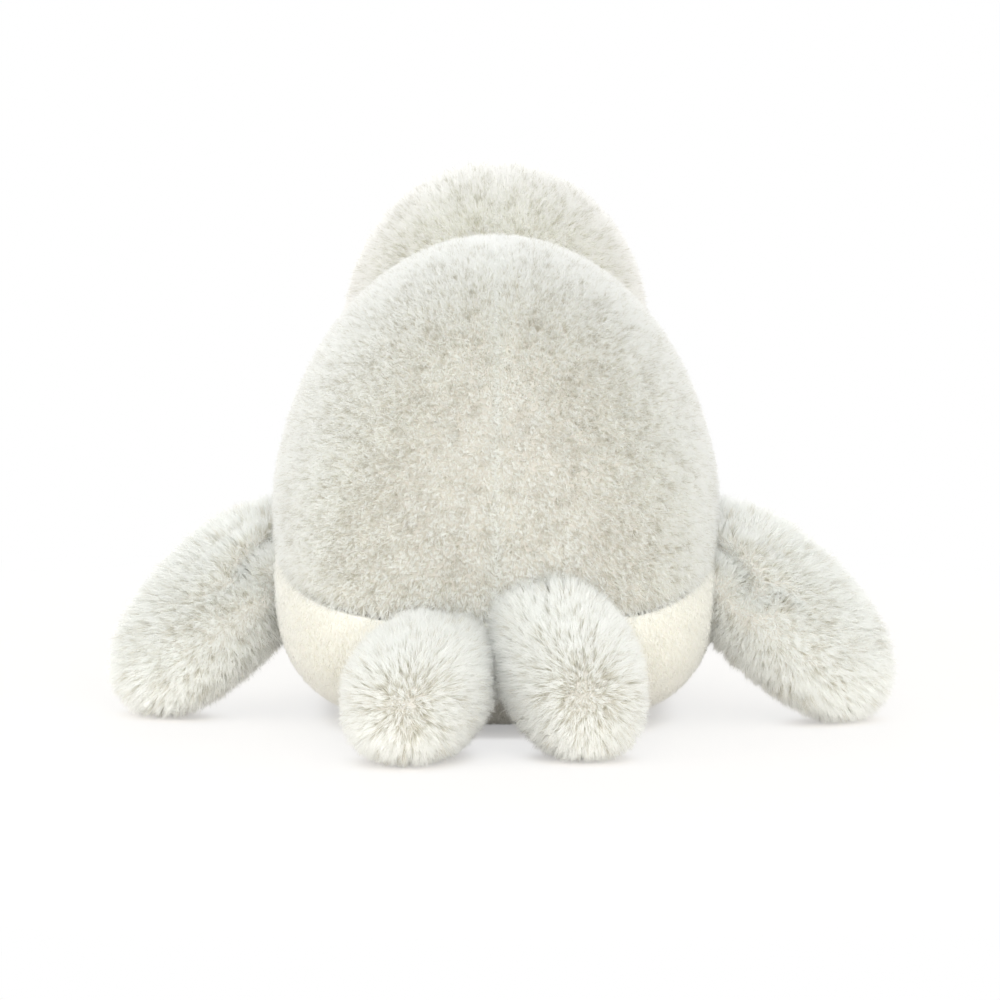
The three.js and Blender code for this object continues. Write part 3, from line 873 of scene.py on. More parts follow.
def faceButton(turn, lift, radius, dome):
    across = skinAt(turn + 1, lift, 0) - skinAt(turn - 1, lift, 0)
    along = skinAt(turn, lift + 1, 0) - skinAt(turn, lift - 1, 0)
    axis = unit(np.cross(across, along))
    seat = skinAt(turn, lift, 0)
    rim = math.degrees(faceShape["washerRadius"] / headShape["front"])
    heights = []
    for angle in np.arange(8) * math.pi / 4:
        skin = skinAt(turn + rim * math.cos(angle), lift + rim * math.sin(angle), fabric["thick"])
        heights.append((skin - seat) @ axis)
    washerTop = min(heights) - faceShape["washerGap"]
    sideways = unit(along - axis * (along @ axis))
    return {
        "seat": seat, "axis": axis, "up": sideways, "across": np.cross(sideways, axis), "radius": radius,
        "dome": dome, "washerTop": washerTop,
        "shankEnd": washerTop - faceShape["washerThick"] - faceShape["shankSpare"],
    }


eyePlan = (faceShape["eyeRaise"], faceShape["eyeRadius"], faceShape["eyeDome"])
buttons = {
    "left_eye": faceButton(faceShape["eyeApart"], *eyePlan),
    "right_eye": faceButton(-faceShape["eyeApart"], *eyePlan),
    "nose": faceButton(0, faceShape["noseRaise"] - faceShape["muzzleTilt"],
                       faceShape["noseRadius"], faceShape["noseDome"]),
}


def fromButton(button, across, height, up):
    return (button["seat"] + np.outer(across, button["across"]) + np.outer(height, button["axis"])
            + np.outer(up, button["up"]))


# height of points over a button's seat, and the way to them from its axis
def fromAxis(button, points):
    offset = points - button["seat"]
    height = offset @ button["axis"]
    return height, offset - np.outer(height, button["axis"])


def circle(steps):
    return np.arange(steps) * 2 * math.pi / steps


# closed solid from a first point, rings of the given number of points, and a last point
def ringedSolid(points, steps):
    faces = []
    last = len(points) - 1
    for step in range(steps):
        following = (step + 1) % steps
        faces.append((0, 1 + step, 1 + following))
        for near in range(1, last - steps, steps):
            far = near + steps
            faces.append((near + step, far + step, near + following))
            faces.append((near + following, far + step, far + following))
        faces.append((last, last - steps + following, last - steps + step))
    return turnedOut(points, np.array(faces))


# a face button from the rings of its cap, down to the end of its shank
def buttonSolid(button, rings, shankTop):
    steps = len(rings[0][0])
    shank, end = faceShape["shankRadius"], button["shankEnd"]
    for radius, height in ((shank + 0.2, shankTop), (shank, shankTop - 0.4), (shank, end + 0.4),
                           (shank - 0.4, end)):
        rings.append(roundRing(radius, height, steps))
    rings = [roundRing(0.0, fabric["seamGap"] + button["dome"], 1), *rings, roundRing(0.0, end, 1)]
    return ringedSolid(np.concatenate([fromButton(button, *ring) for ring in rings]), steps)


# across, height and up of a ring's points
def roundRing(radius, height, steps):
    return radius * np.cos(circle(steps)), np.full(steps, height), radius * np.sin(circle(steps))


def eyeSolid(button, steps=64):
    radius = button["radius"]
    profile = [(radius * math.sin(turn), fabric["seamGap"] + button["dome"] * math.cos(turn))
               for turn in np.linspace(0.08, math.pi / 2, 18)]
    profile += [(radius * 0.99, -0.3), (radius * 0.9, -1.2), (radius * 0.7, -2.4)]
    return buttonSolid(button, [roundRing(*place, steps) for place in profile], -2.9)


noseLook = {"widen": 0.2, "flatten": 0.78, "nostril": (3.0, -1.0), "nostrilSize": (1.5, 1.1),
            "nostrilDepth": 1.1, "groove": 0.7, "grooveDepth": 0.6}


def noseSolid(button, steps=72):
    wide = button["radius"] * np.cos(circle(steps)) * (1 + noseLook["widen"] * np.sin(circle(steps)))
    tall = button["radius"] * noseLook["flatten"] * np.sin(circle(steps))
    rings = []
    for share in np.linspace(0.06, 1.0, 22) ** 0.8:
        across, up = wide * share, tall * share
        height = fabric["seamGap"] + button["dome"] * (1 - share ** 2.6) ** 0.55
        for side in (-1, 1):
            away = ((across - side * noseLook["nostril"][0]) / noseLook["nostrilSize"][0]) ** 2
            away = away + ((up - noseLook["nostril"][1]) / noseLook["nostrilSize"][1]) ** 2
            height = height - noseLook["nostrilDepth"] * np.exp(-away)
        groove = bell(across, noseLook["groove"]) * smoothStep(-up, 0.5, 4.0)
        rings.append((across, height - noseLook["grooveDepth"] * groove, up))
    for share, height in ((0.99, -0.3), (0.9, -1.4), (0.66, -2.6)):
        rings.append((wide * share, np.full(steps, height), tall * share))
    return buttonSolid(button, rings, -3.1)


# a ring with a raised hub and a ribbed rim, closed on itself round its hole
def washerSolid(button, steps=64):
    top, bottom = button["washerTop"], button["washerTop"] - faceShape["washerThick"]
    bore, radius = faceShape["shankRadius"] + 0.15, faceShape["washerRadius"]
    ribs = 1 + 0.015 * np.cos(circle(steps) * 16)
    section = [(bore, bottom), (bore + 0.3, bottom - 0.2), (bore + 1.6, bottom - 0.2),
               (bore + 2.0, bottom + 0.3), (radius - 1.4, bottom + 0.4), (radius - 0.9, bottom),
               (radius - 0.3, bottom), (radius, bottom + 0.3), (radius, top - 0.3),
               (radius - 0.3, top), (bore + 0.2, top), (bore, top - 0.2)]
    rings = []
    for reach, height in section:
        across, heights, up = roundRing(reach * (ribs if reach > radius - 1 else 1), height, steps)
        rings.append(fromButton(button, across, heights, up))
    faces, count = [], len(section) * steps
    for ring in range(0, count, steps):
        for step in range(steps):
            a, b = ring + step, ring + (step + 1) % steps
            c, d = (a + steps) % count, (b + steps) % count
            faces += [(a, c, b), (b, c, d)]
    return turnedOut(np.concatenate(rings), np.array(faces))


def standFor(piece, body, node):
    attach(piece, body)
    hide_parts(node)
    return piece


for name, button in buttons.items():
    kind = "nose" if name == "nose" else "eye"
    solid = noseSolid(button) if name == "nose" else eyeSolid(button)
    standFor(makeObject(f"{name}_button", *solid, materials[kind]), "head", name)
    standFor(makeObject(f"{name}_lock_washer", *washerSolid(button), materials["washer"]),
             "head", f"{name}_washer")


# Stitched mouth

mouth = {
    "radius": 0.6, "sink": 0.9, "twist": 0.35, "flatten": 0.12, "endShare": 0.6, "tipShare": 0.3,
    "lines": [
        [(0, -20), (0, -23), (0, -26.5)],
        [(0, -26), (5, -29), (11, -30), (17, -28), (21.5, -24.5)],
        [(0, -26), (-5, -29), (-11, -30), (-17, -28), (-21.5, -24.5)],
    ],
}


# points along a curve through the given ones
def smoothLine(points, steps):
    points = np.array(points, float)
    padded = np.concatenate([[2 * points[0] - points[1]], points, [2 * points[-1] - points[-2]]])
    line = []
    for k in range(len(points) - 1):
        a, b, c, d = padded[k:k + 4]
        for t in np.arange(steps) / steps:
            line.append(0.5 * (2 * b + (c - a) * t + (2 * a - 5 * b + 4 * c - d) * t * t
                               + (3 * b - a - 3 * c + d) * t ** 3))
    return np.array(line + [points[-1]])


# closed tube with rounded ends, turned a little as it goes like a twisted thread
def tube(line, radius, sides=10):
    ahead = unit(np.gradient(line, axis=0))
    side = unit(np.cross(ahead, upward + 0.01 * leftward))
    other = np.cross(ahead, side)
    count = len(line)
    tip = mouth["tipShare"] * radius
    rings = [line[:1] - ahead[:1] * tip]
    for k in range(count):
        wide = radius * (mouth["endShare"] if k in (0, count - 1) else 1.0)
        angle = circle(sides) + k * mouth["twist"]
        strand = wide * (1 + mouth["flatten"] * np.cos(2 * angle))
        rings.append(line[k] + np.outer(strand * np.cos(angle), side[k])
                     + np.outer(strand * np.sin(angle), other[k]))
    return ringedSolid(np.concatenate([*rings, line[-1:] + ahead[-1:] * tip]), sides)


mouthLines = [smoothLine([skinAt(turn, lift, mouth["sink"]) for turn, lift in line], 8)
              for line in mouth["lines"]]
mouthStitch = makeObject("mouth_stitch", *joined([tube(line, mouth["radius"]) for line in mouthLines]),
                         materials["thread"])
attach(mouthStitch, "head")
print("face made")


# Fillings: loose fibre that holds the toy's shape, and the bean pouch with its pellets

filling = {"lump": 9.0, "lumpDepth": 1.1, "fine": 2.6, "fineDepth": 0.35, "hollow": 11.0, "hollowFrom": 8.8,
           "shankHollow": 3.5, "hollowGap": 0.6}
pouchShape = {
    "centre": (0.0, 10.0, 16.0), "side": 34.0, "front": 44.0, "rear": 44.0, "up": 12.0, "down": 24.0,
    "sectionUp": 2.4, "sectionDown": 2.4, "planUp": 2.4, "planDown": 2.4,
}


# how deep the loose fibre lies under its full form
def lumps(points, salt):
    return (filling["lumpDepth"] * softNoise(points, filling["lump"], salt)
            + filling["fineDepth"] * softNoise(points, filling["fine"], salt + 1))


# the reach at which a ray from a centre first meets another form, or its own reach
def entryReach(outside, centre, directions, reach, steps=60):
    found = reach.copy()
    free = np.ones(len(directions), bool)
    low = np.zeros(len(directions))
    for step in range(1, steps + 1):
        far = reach * step / steps
        hit = free & (outside(centre + directions * far[:, None]) < 0)
        low[hit] = (reach * (step - 1) / steps)[hit]
        found[hit] = far[hit]
        free &= ~hit
    for _ in range(16):
        middle = (low + found) / 2
        inside = outside(centre + directions * middle[:, None]) < 0
        found = np.where(~free & inside, middle, found)
        low = np.where(~free & ~inside, middle, low)
    return found


def bodyFilling(directions):
    inset = fabric["thick"] + fabric["fillGap"]
    reach = reachOf(bodyShape, directions, inset + bodySeams["pinchDepth"])
    for form, room in ((headShape, fabric["swingGap"]), (pouchShape, fabric["fillGap"])):
        reach = entryReach(lambda p: outsideForm(form, p, -room), bodyCentre, directions, reach)
    reach = reach - lumps(bodyCentre + directions * reach[:, None], 11)
    points = bodyCentre + directions * reach[:, None]
    points[:, 2] = np.maximum(points[:, 2], inset)
    return points


def headFilling(directions):
    inset = fabric["thick"] + fabric["fillGap"] + bodySeams["pinchDepth"]
    points = headCentre + directions * headReach(directions, inset)[:, None]
    points -= directions * lumps(points, 21)[:, None]
    for button in buttons.values():   # dents that hold the washers and shank ends
        height, flat = fromAxis(button, points)
        away = np.linalg.norm(flat, axis=1)
        near = (1 - smoothStep(away, filling["hollowFrom"], filling["hollow"])) * (height > -20)
        target = np.where(away < filling["shankHollow"], button["shankEnd"],
                          button["washerTop"] - faceShape["washerThick"]) - filling["hollowGap"]
        points -= np.outer(near * np.maximum(height - target, 0), button["axis"])
    return points


def limbFilling(limb, directions):
    inset = fabric["thick"] + fabric["fillGap"]
    points = limbSurface(limb, directions, inset)
    middle = limb["seat"] + limb["along"] * limb["paddle"]["length"] * 0.5
    toMiddle = unit(middle - points)
    points += toMiddle * lumps(points, 31)[:, None]

    def clear(p):
        return np.minimum(clearOfBody(limb, p, -0.3), limbMiddle(limb, p) - fabric["fillGap"])
    cut = clear(points) < 0
    low, high = points.copy(), np.broadcast_to(middle, points.shape).copy()
    for _ in range(24):
        half = (low + high) / 2
        outside = (clear(half) > 0)[:, None]
        high, low = np.where(outside, half, high), np.where(outside, low, half)
    points[cut] = high[cut]
    points[:, 2] = np.maximum(points[:, 2], inset)
    return points


fillings = {"body_filling": ("body", bodyFilling(ballMiddle[0]), ballMiddle[1]),
            "head_filling": ("head", headFilling(ballMiddle[0]), ballMiddle[1])}
for limbName, limb in limbs.items():
    directions, faces = facingOut(limb)
    fillings[f"{limbName}_filling"] = (limb["body"], limbFilling(limb, directions), faces)
for node, (body, points, faces) in fillings.items():
    stuffing = makeObject(f"{node}_fibre", points, faces, materials["fibreFill"])
    standFor(stuffing, body, node)
print("fillings made")


pouch = {"cloth": 1.2, "mouthRadius": 6.0, "bottom": 4.0, "pellet": (1.75, 1.35, 1.2), "spacing": 3.1,
         "gathers": 14, "gatherReach": 14.0, "gatherDepth": 0.8}
pouchCentre = np.array(pouchShape["centre"])


def fromPouchMiddle(points):
    return np.linalg.norm(points[:, :2] - pouchCentre[:2], axis=1)


def pouchSurface(directions, inset):
    points = pouchCentre + directions * reachOf(pouchShape, directions, inset)[:, None]
    angle = np.arctan2(directions[:, 1], directions[:, 0])
    gather = pouch["gatherDepth"] * bell(fromPouchMiddle(points), pouch["gatherReach"])
    points[:, 2] -= (0.5 + 0.5 * np.cos(angle * pouch["gathers"])) * gather * (directions[:, 2] > 0)
    points[:, 2] = np.maximum(points[:, 2], pouch["bottom"] + inset)
    return points


def mouthField(points):
    return np.where(points[:, 2] > pouchCentre[2], fromPouchMiddle(points) - pouch["mouthRadius"], farAway)


pouchSkin = pouchSurface(ballMiddle[0], 0.0)
pouchPatch = trimmed(pouchSkin, ballMiddle[1], mouthField(pouchSkin))
pouchCloth = makeObject("bean_pouch_cloth", *thickened(*pouchPatch, pouch["cloth"]),
                        materials["pouchCloth"])
standFor(pouchCloth, "body", "bean_pouch")


# a layer of oval beans over a packed core
def pelletHeap():
    rng = np.random.default_rng(7)
    depth = pouch["cloth"] + fabric["fillGap"]
    size = np.array(pouch["pellet"])
    directions, faces = ballMiddle
    patch = (pouchSurface(directions, depth + size[2]), faces)
    places, normals = scattered(*patch, int(areaOf(*patch) / pouch["spacing"] ** 2), rng)
    bean = roundDirections(2)
    parts = [(pouchSurface(directions, depth + 2 * size[2]), faces)]
    for place, normal in zip(places, normals):
        side = unit(alongSurface(rng.normal(size=3), normal[None]))[0]
        turn = np.stack([side, np.cross(normal, side), normal], axis=1)
        parts.append((place + (bean[0] * size) @ turn.T, bean[1]))
    return joined(parts)


def areaOf(points, faces):
    return 0.5 * np.linalg.norm(facing(points, faces), axis=1).sum()


# even places on a mesh, with the smooth normal at each
def scattered(points, faces, count, rng):
    total = np.cumsum(np.linalg.norm(facing(points, faces), axis=1))
    drawn = (np.arange(count) + rng.random(count)) / count * total[-1]
    chosen = faces[np.minimum(np.searchsorted(total, drawn), len(faces) - 1)]
    first, second = rng.random(count), rng.random(count)
    fold = first + second > 1
    first[fold], second[fold] = 1 - first[fold], 1 - second[fold]
    shares = np.stack([1 - first - second, first, second], axis=1)[:, :, None]
    normals = vertexNormals(points, faces)
    return (points[chosen] * shares).sum(axis=1), unit((normals[chosen] * shares).sum(axis=1))


pellets = makeObject("bean_pellets_heap", *pelletHeap(), materials["pellets"])
standFor(pellets, "body", "bean_pellets")
print("pouch and pellets made")


# Pile: every strand is a thin bent blade that narrows to its tip

plainPile = {"density": 8.0, "width": 0.22, "leanVary": 8, "scatter": 0.25}
# a share of small tufts is painted dark from root to tip: painted shadow between the tufts
tuftedPile = {**plainPile, "pull": (0.6, 0.9, 0.9), "tuftLean": 0.6, "tuftVary": 0.3, "curl": 0.07,
              "shadeFleck": (1.5, 0.75, 0.75), "shadeFleckShare": 0.12}
smoothPile = {**plainPile, "pull": (0.2, 0.2, 0.2), "tuftLean": 0.2, "tuftVary": 0.1, "curl": 0.06,
              "shadeFleck": (2.0, 2.0, 2.0), "shadeFleckShare": 0.0, "colour": "cream"}
pileKinds = {
    "back": {**tuftedPile, "length": 4.2, "lean": 33, "tuft": (2.0, 1.1, 1.1), "colour": "grey"},
    "head": {**tuftedPile, "length": 4.8, "lean": 24, "tuft": (1.9, 1.1, 1.1), "colour": "head"},
    "limb": {**plainPile, "length": 5.2, "lean": 32, "scatter": 0.22, "tuft": (2.1, 1.9, 1.7),
             "pull": (0.85, 0.85, 0.85), "tuftLean": 0.4, "tuftVary": 0.25, "curl": 0.06,
             "shadeFleck": (1.2, 1.1, 1.0), "shadeFleckShare": 0.08, "colour": "limb"},
    "cream": {**smoothPile, "length": 2.9, "lean": 60, "density": 7.0, "width": 0.24, "scatter": 0.2,
              "tuft": (2.4, 2.4, 2.4)},
    "face": {**smoothPile, "length": 2.8, "lean": 55, "tuft": (1.8, 1.8, 1.8)},
}
strand = {
    "most": 64000, "quickShare": 0.35, "quickWidth": 1.6, "tones": 64, "floor": 0.15, "rootSink": 0.3,
    "roll": 0.5, "middleOver": 0.3, "tipOver": 1.5, "middleWidth": 0.85,
    "tuftTurns": 7.0, "tuftAngle": 16, "leastNap": 0.3, "leanLimits": (0.05, 1.45),
    "lowLean": 0.6, "highLean": 1.35, "lowPull": 0.35, "highPull": 0.65,
    "lengthVary": 0.08, "lengthLimits": (0.4, 1.4),
    "leastWidth": 0.8, "widthVary": 0.4,
    "tone": 0.45, "toneVary": 0.5, "tuftTone": 0.35, "cloudTone": 0.3, "cloud": 14.0, "mostTone": 0.7,
}


# roots, middles, tips, sideways half widths and tone of the strands on one panel
def growStrands(panelName, kind, napAt, toneAt, keepAt, clumpAt, salt):
    pile = pileKinds[kind]
    rng = np.random.default_rng(salt)
    patch = panels[panelName][0]
    share = 1.0
    roots, normals = scattered(*patch, int(areaOf(*patch) * pile["density"] * share), rng)
    keep = keepAt(roots)
    roots, normals = roots[keep], normals[keep]
    count = len(roots)
    centres, number = nearestTufts(roots, pile["tuft"], salt * 10)
    toward = alongSurface((centres - roots) * np.array(pile["pull"]), normals) * clumpAt(roots)[:, None]
    turn = number * 2 * math.pi * strand["tuftTurns"]
    sideA = unit(alongSurface(np.array([0.31, 0.27, 0.91]), normals))
    sideB = np.cross(normals, sideA)
    tuftWay = sideA * np.cos(turn)[:, None] + sideB * np.sin(turn)[:, None]
    loose = alongSurface(rng.normal(size=(count, 3)), normals)
    flow = alongSurface(napAt(roots), normals)
    way = unit(flow + tuftWay * pile["tuftLean"] * 0.5 + loose * pile["scatter"])
    lean = np.radians(pile["lean"] + pile["leanVary"] * rng.normal(size=count)
                      + strand["tuftAngle"] * (number - 0.5))
    lean = lean * np.clip(np.linalg.norm(flow, axis=1), strand["leastNap"], 1.0)
    lean = np.clip(lean, *strand["leanLimits"])
    length = (pile["length"] * (1 + strand["lengthVary"] * rng.normal(size=count))
              * (1 + pile["tuftVary"] * (number - 0.5)))
    shortest, longest = (limit * pile["length"] for limit in strand["lengthLimits"])
    length = np.clip(length, shortest, longest) * shortening(roots, panelName)

    # half a strand, from its lean and its share of the pull towards the tuft
    def half(start, bend, pull):
        angle = lean * strand[bend]
        ahead = unit(normals * np.cos(angle)[:, None] + way * np.sin(angle)[:, None])
        return start + ahead * (0.5 * length)[:, None] + toward * strand[pull]
    roots = roots - normals * strand["rootSink"]
    middles = half(roots, "lowLean", "lowPull")
    tips = half(middles, "highLean", "highPull")
    tips += alongSurface(rng.normal(size=(count, 3)), normals) * (pile["curl"] * length)[:, None]
    if panelName.startswith("back"):
        for place, over in ((middles, strand["middleOver"]), (tips, strand["tipOver"])):
            place += np.maximum(-over - bodyField(place)["cream"], 0.0)[:, None] * creamNormal
    for place in (middles, tips):
        place[:, 2] = np.maximum(place[:, 2], strand["floor"])
    flat = unit(np.cross(tips - roots, normals))
    edge = unit(np.cross(tips - roots, flat))
    roll = strand["roll"] * rng.normal(size=count)
    width = pile["width"] * 1.0
    width = width * (strand["leastWidth"] + strand["widthVary"] * rng.random(count))
    spoke = (flat * np.cos(roll)[:, None] + edge * np.sin(roll)[:, None]) * (width / 2)[:, None]
    cloud = softNoise(roots, strand["cloud"], salt + 3) - 0.5
    tone = (strand["tone"] + strand["toneVary"] * (rng.random(count) - 0.5)
            + strand["tuftTone"] * (number - 0.5) + strand["cloudTone"] * cloud + toneAt(roots, normals))
    tone = np.clip(tone, 0.0, strand["mostTone"])
    # strands in a few small tufts turn fully dark: painted shadow for the gaps between tufts
    tone[nearestTufts(roots, pile["shadeFleck"], salt * 10 + 5)[1] < pile["shadeFleckShare"] * clumpAt(roots)] = 1.0
    return roots, middles, tips, spoke, tone


def strandMesh(name, roots, middles, tips, spoke, tone, material):
    count = len(roots)
    narrow = spoke * strand["middleWidth"]
    points = np.stack([roots - spoke, roots + spoke, middles - narrow, middles + narrow, tips], axis=1)
    points[:, :, 2] = np.maximum(points[:, :, 2], 0.02)
    shape = np.array([(0, 1, 3), (0, 3, 2), (2, 3, 4)])
    faces = (np.arange(count)[:, None, None] * 5 + shape[None]).reshape(-1, 3)
    piece = makeObject(name, points.reshape(-1, 3), faces, material)
    column = (np.floor(tone * (strand["tones"] - 1)) + 0.5) / strand["tones"]
    along = np.array([0.0, 0.0, 0.5, 0.5, 1.0])
    mesh = piece.data
    for label, values in (("tone", np.repeat(column, 5)), ("along", np.tile(along, count))):
        attribute = mesh.attributes.new(label, "FLOAT", "POINT")
        attribute.data.foreach_set("value", values.astype(np.float32))
    # a UV map named OFBake: tone across, root to tip up
    across = np.array([-1, 1, -1, 1, 0]) * 0.4 / strand["tones"]
    layer = mesh.uv_layers.new(name="OFBake")
    places = np.zeros((count, 3, 3, 2))
    places[..., 0] = column[:, None, None] + across[shape][None]
    places[..., 1] = 0.01 + 0.98 * along[shape][None]
    layer.data.foreach_set("uv", places.astype(np.float32).ravel())
    return piece


# distance outside each face button's edge, and the direction away from its middle
def besideButtons(points):
    nearest = np.full(len(points), farAway)
    away = np.zeros_like(points)
    for button in buttons.values():
        height, flat = fromAxis(button, points)
        distance = np.linalg.norm(flat, axis=1) - button["radius"]
        nearer = (distance < nearest) & (height > -15)
        nearest[nearer] = distance[nearer]
        away[nearer] = unit(flat[nearer])
    return nearest, away


mouthPoints = np.concatenate(mouthLines)


def fromMouth(points):
    nearest = np.full(len(points), farAway)
    close = np.linalg.norm(points - buttons["nose"]["seat"], axis=1) < 40
    offset = points[close][:, None] - mouthPoints[None]
    if close.any():
        nearest[close] = np.sqrt((offset ** 2).sum(axis=2)).min(axis=1)
    return nearest


# shares of the length that are left where the pile is clipped, and how far that reaches
clipped = {"buttons": 0.62, "buttonReach": (0.0, 5.0), "mouth": 0.55, "mouthReach": (1.0, 6.0)}


def grownBack(distance, least, reach):
    return least + (1 - least) * smoothStep(distance, *reach)


# pile is clipped shorter round the eyes, nose and mouth
def shortening(roots, panelName):
    if panels[panelName][2] != "head":
        return np.ones(len(roots))
    beside, _ = besideButtons(roots)
    return (grownBack(beside, clipped["buttons"], clipped["buttonReach"])
            * grownBack(fromMouth(roots), clipped["mouth"], clipped["mouthReach"]))


# how far outside its neighbours a strand must stand; below 0 it may stand inside them
bareEdge = {"head": 0.3, "limb": 3.6, "neck": -10.0, "chin": -1.5, "button": -1.2, "mouth": 2.4}


def keepOnBody(points):
    keep = outsideHead(points) > bareEdge["head"]
    for limb in limbs.values():
        keep &= outsidePaddle(limb, points, bareEdge["limb"]) > 0
    return keep


def keepOnHead(points):
    keep = outsideForm(bodyShape, points) > bareEdge["neck"]
    keep &= besideButtons(points)[0] > bareEdge["button"]
    return keep & (fromMouth(points) > bareEdge["mouth"])


# the chin only turns into its seat, so less of its pile is hidden there
def keepOnChin(points):
    return keepOnHead(points) & (outsideForm(bodyShape, points) > bareEdge["chin"])


napLook = {
    "back": (0.0, 1.0, -0.35), "head": (0.0, 1.0, -0.3), "face": (0.0, 0.4, -0.25),
    "under": (0.0, 0.8, -0.6), "limb": (0.0, 0.0, -0.15), "limbSpread": 6.0,
    "part": 0.3, "partWidth": 3.0, "seam": 0.9, "seamWidth": 3.5,
    "neck": 4.0, "neckWidth": 3.0, "buttons": 2.5, "buttonsWidth": 3.0,
}


# the body's pile beside the neck lies over the seam
def towardHead(points):
    near = bell(np.maximum(outsideHead(points), 0.0), napLook["neckWidth"])
    return unit(headCentre - points) * (napLook["neck"] * near)[:, None]


# a nap that is parted at the middle seam
def partedNap(points, way):
    flow = np.tile(way, (len(points), 1))
    flow[:, 0] -= napLook["part"] * np.sign(points[:, 0]) * bell(points[:, 0], napLook["partWidth"])
    return flow


def awayFromButtons(points):
    beside, away = besideButtons(points)
    return away * (napLook["buttons"] * bell(np.maximum(beside, 0), napLook["buttonsWidth"]))[:, None]


def napBack(points):
    flow = partedNap(points, napLook["back"])
    flow[:, 2] -= napLook["seam"] * bell(bodyField(points)["cream"], napLook["seamWidth"])
    return flow + towardHead(points)


def napHead(points):
    return partedNap(points, napLook["head"]) + awayFromButtons(points)


def napFace(points):
    flow = unit(points - buttons["nose"]["seat"]) + np.array(napLook["face"])
    return flow + awayFromButtons(points)


def napChin(points):
    return np.tile(napLook["under"], (len(points), 1))


def napUnder(points):
    return napChin(points) + towardHead(points)


# a front flipper's pile spreads from its root, a tail flipper's from the middle of its end
def napLimb(limb):
    shift = napStarts[limb["kind"]]
    start = limb["seat"] + limb["along"] * limb["paddle"]["length"] * shift["along"]
    start = start + upward * shift[limb["side"]][1] + limb["flip"][0, 0] * leftward * shift[limb["side"]][0]

    def nap(points):
        away = points - start
        spread = np.linalg.norm(away, axis=1, keepdims=True) + napLook["limbSpread"]
        return away / spread + np.array(napLook["limb"])
    return nap


# share of the length, and the step outward and up on each side
napStarts = {
    "flipper": {"along": 0.1, "left": (0.0, 0.0), "right": (0.0, 0.0)},
    "tail": {"along": 1.0, "left": (-5.0, 6.0), "right": (-4.0, 17.0)},
}


mainTones = {
    "rump": 0.18, "rumpWay": (0.0, 1.0, 0.25), "rumpReach": (0.45, 0.95),
    # the head's tone is paler: painted light against the body's shade on the head
    "flankLight": -0.3, "flankLightReach": (0.5, 0.95), "back": -0.05, "seam": -0.4, "seamWidth": 2.4, "head": -0.35,
}


# painted shade and light: the pile is warmer and darker where the rump faces backward, and paler on the
# flanks; the pile along the centre seam is pale
def backToneAndShade(points, normals):
    facingShade = smoothStep(normals @ unit(np.array(mainTones["rumpWay"])), *mainTones["rumpReach"])
    flankLight = smoothStep(np.abs(normals[:, 0]), *mainTones["flankLightReach"])
    return (mainTones["rump"] * facingShade + mainTones["flankLight"] * flankLight + mainTones["back"]
            + mainTones["seam"] * bell(points[:, 0], mainTones["seamWidth"]))


# the head's pile is paler all over: painted light against the shade of the body
def headPaintedLight(points, normals):
    return np.full(len(points), mainTones["head"])


def toneNone(points, normals):
    return np.zeros(len(points))


# a limb's pile is paler towards its end; it is paler underneath as painted light from the floor, and a tail's
# pile is darker at its root, like the back's pile it meets and partly as painted shade under the light from
# above
def limbToneAndLight(limb):
    tones = limbTones[limb["kind"]]

    def tone(points, normals):
        out = (points - limb["seat"]) @ limb["along"] / limb["paddle"]["length"]
        under = smoothStep(-normals[:, 2], *limbTones["underLightReach"])
        return tones["root"] + tones["end"] * smoothStep(out, *limbTones["endReach"]) + tones["under"] * under
    return tone


limbTones = {
    "flipper": {"root": -0.4, "end": -0.05, "under": -0.2},
    "tail": {"root": 0.7, "end": -0.5, "under": -0.6},
    "endReach": (0.3, 0.95), "underLightReach": (0.1, 0.7),
}


# how strongly the pile clumps: less along the centre seams and round a flipper's edge
clumping = {"seam": 0.8, "seamWidth": 2.8, "edge": 0.55, "edgeReach": (0.45, 0.95)}


def clumpEven(points):
    return np.ones(len(points))


def clumpBack(points):
    return 1.0 - clumping["seam"] * bell(points[:, 0], clumping["seamWidth"])


def clumpLimb(limb):
    low, high = (share * limb["paddle"]["width"] / 2 for share in clumping["edgeReach"])

    def clump(points):
        offset = points - limb["seat"]
        away = np.linalg.norm(offset - np.outer(offset @ limb["along"], limb["along"]), axis=1)
        return 1.0 - clumping["edge"] * smoothStep(away, low, high)
    return clump


def everywhere(points):
    return np.ones(len(points), bool)


growth = {
    "back_left": ("back", napBack, backToneAndShade, keepOnBody, clumpBack),
    "back_right": ("back", napBack, backToneAndShade, keepOnBody, clumpBack),
    "belly": ("cream", napUnder, toneNone, keepOnBody, clumpEven),
    "chest": ("cream", napUnder, toneNone, keepOnBody, clumpEven),
    "head_left": ("head", napHead, headPaintedLight, keepOnHead, clumpBack),
    "head_right": ("head", napHead, headPaintedLight, keepOnHead, clumpBack),
    "muzzle": ("face", napFace, toneNone, keepOnHead, clumpEven),
    "chin": ("cream", napChin, toneNone, keepOnChin, clumpEven),
}
for limbName, limb in limbs.items():
    for half in ("top", "underside"):
        growth[f"{limbName}_{half}"] = ("limb", napLimb(limb), limbToneAndLight(limb), everywhere, clumpLimb(limb))

strandTotal = 0
for salt, (panelName, (kind, *guides)) in enumerate(growth.items(), start=1):
    grown = growStrands(panelName, kind, *guides, salt)
    order = np.argsort(grown[0][:, 1], kind="stable")
    parts = max(1, math.ceil(len(order) / strand["most"]))
    for index, chosen in enumerate(np.array_split(order, parts), start=1):
        pileName = f"{panelName}_pile_{index}" if parts > 1 else f"{panelName}_pile"
        colour = pileKinds[kind]["colour"]
        piece = strandMesh(pileName, *[values[chosen] for values in grown], materials[f"{colour}Pile"])
        settle(piece, panels[panelName][2])
        strandTotal += len(chosen)
print("pile strands:", strandTotal)


# Camera, light and floor

view = {"distance": 1500.0, "elevation": 5.0, "lens": 189.0, "target": (0.0, 0.0, 66.0),
        "aimDown": 8.0, "aimLeft": -1.15}


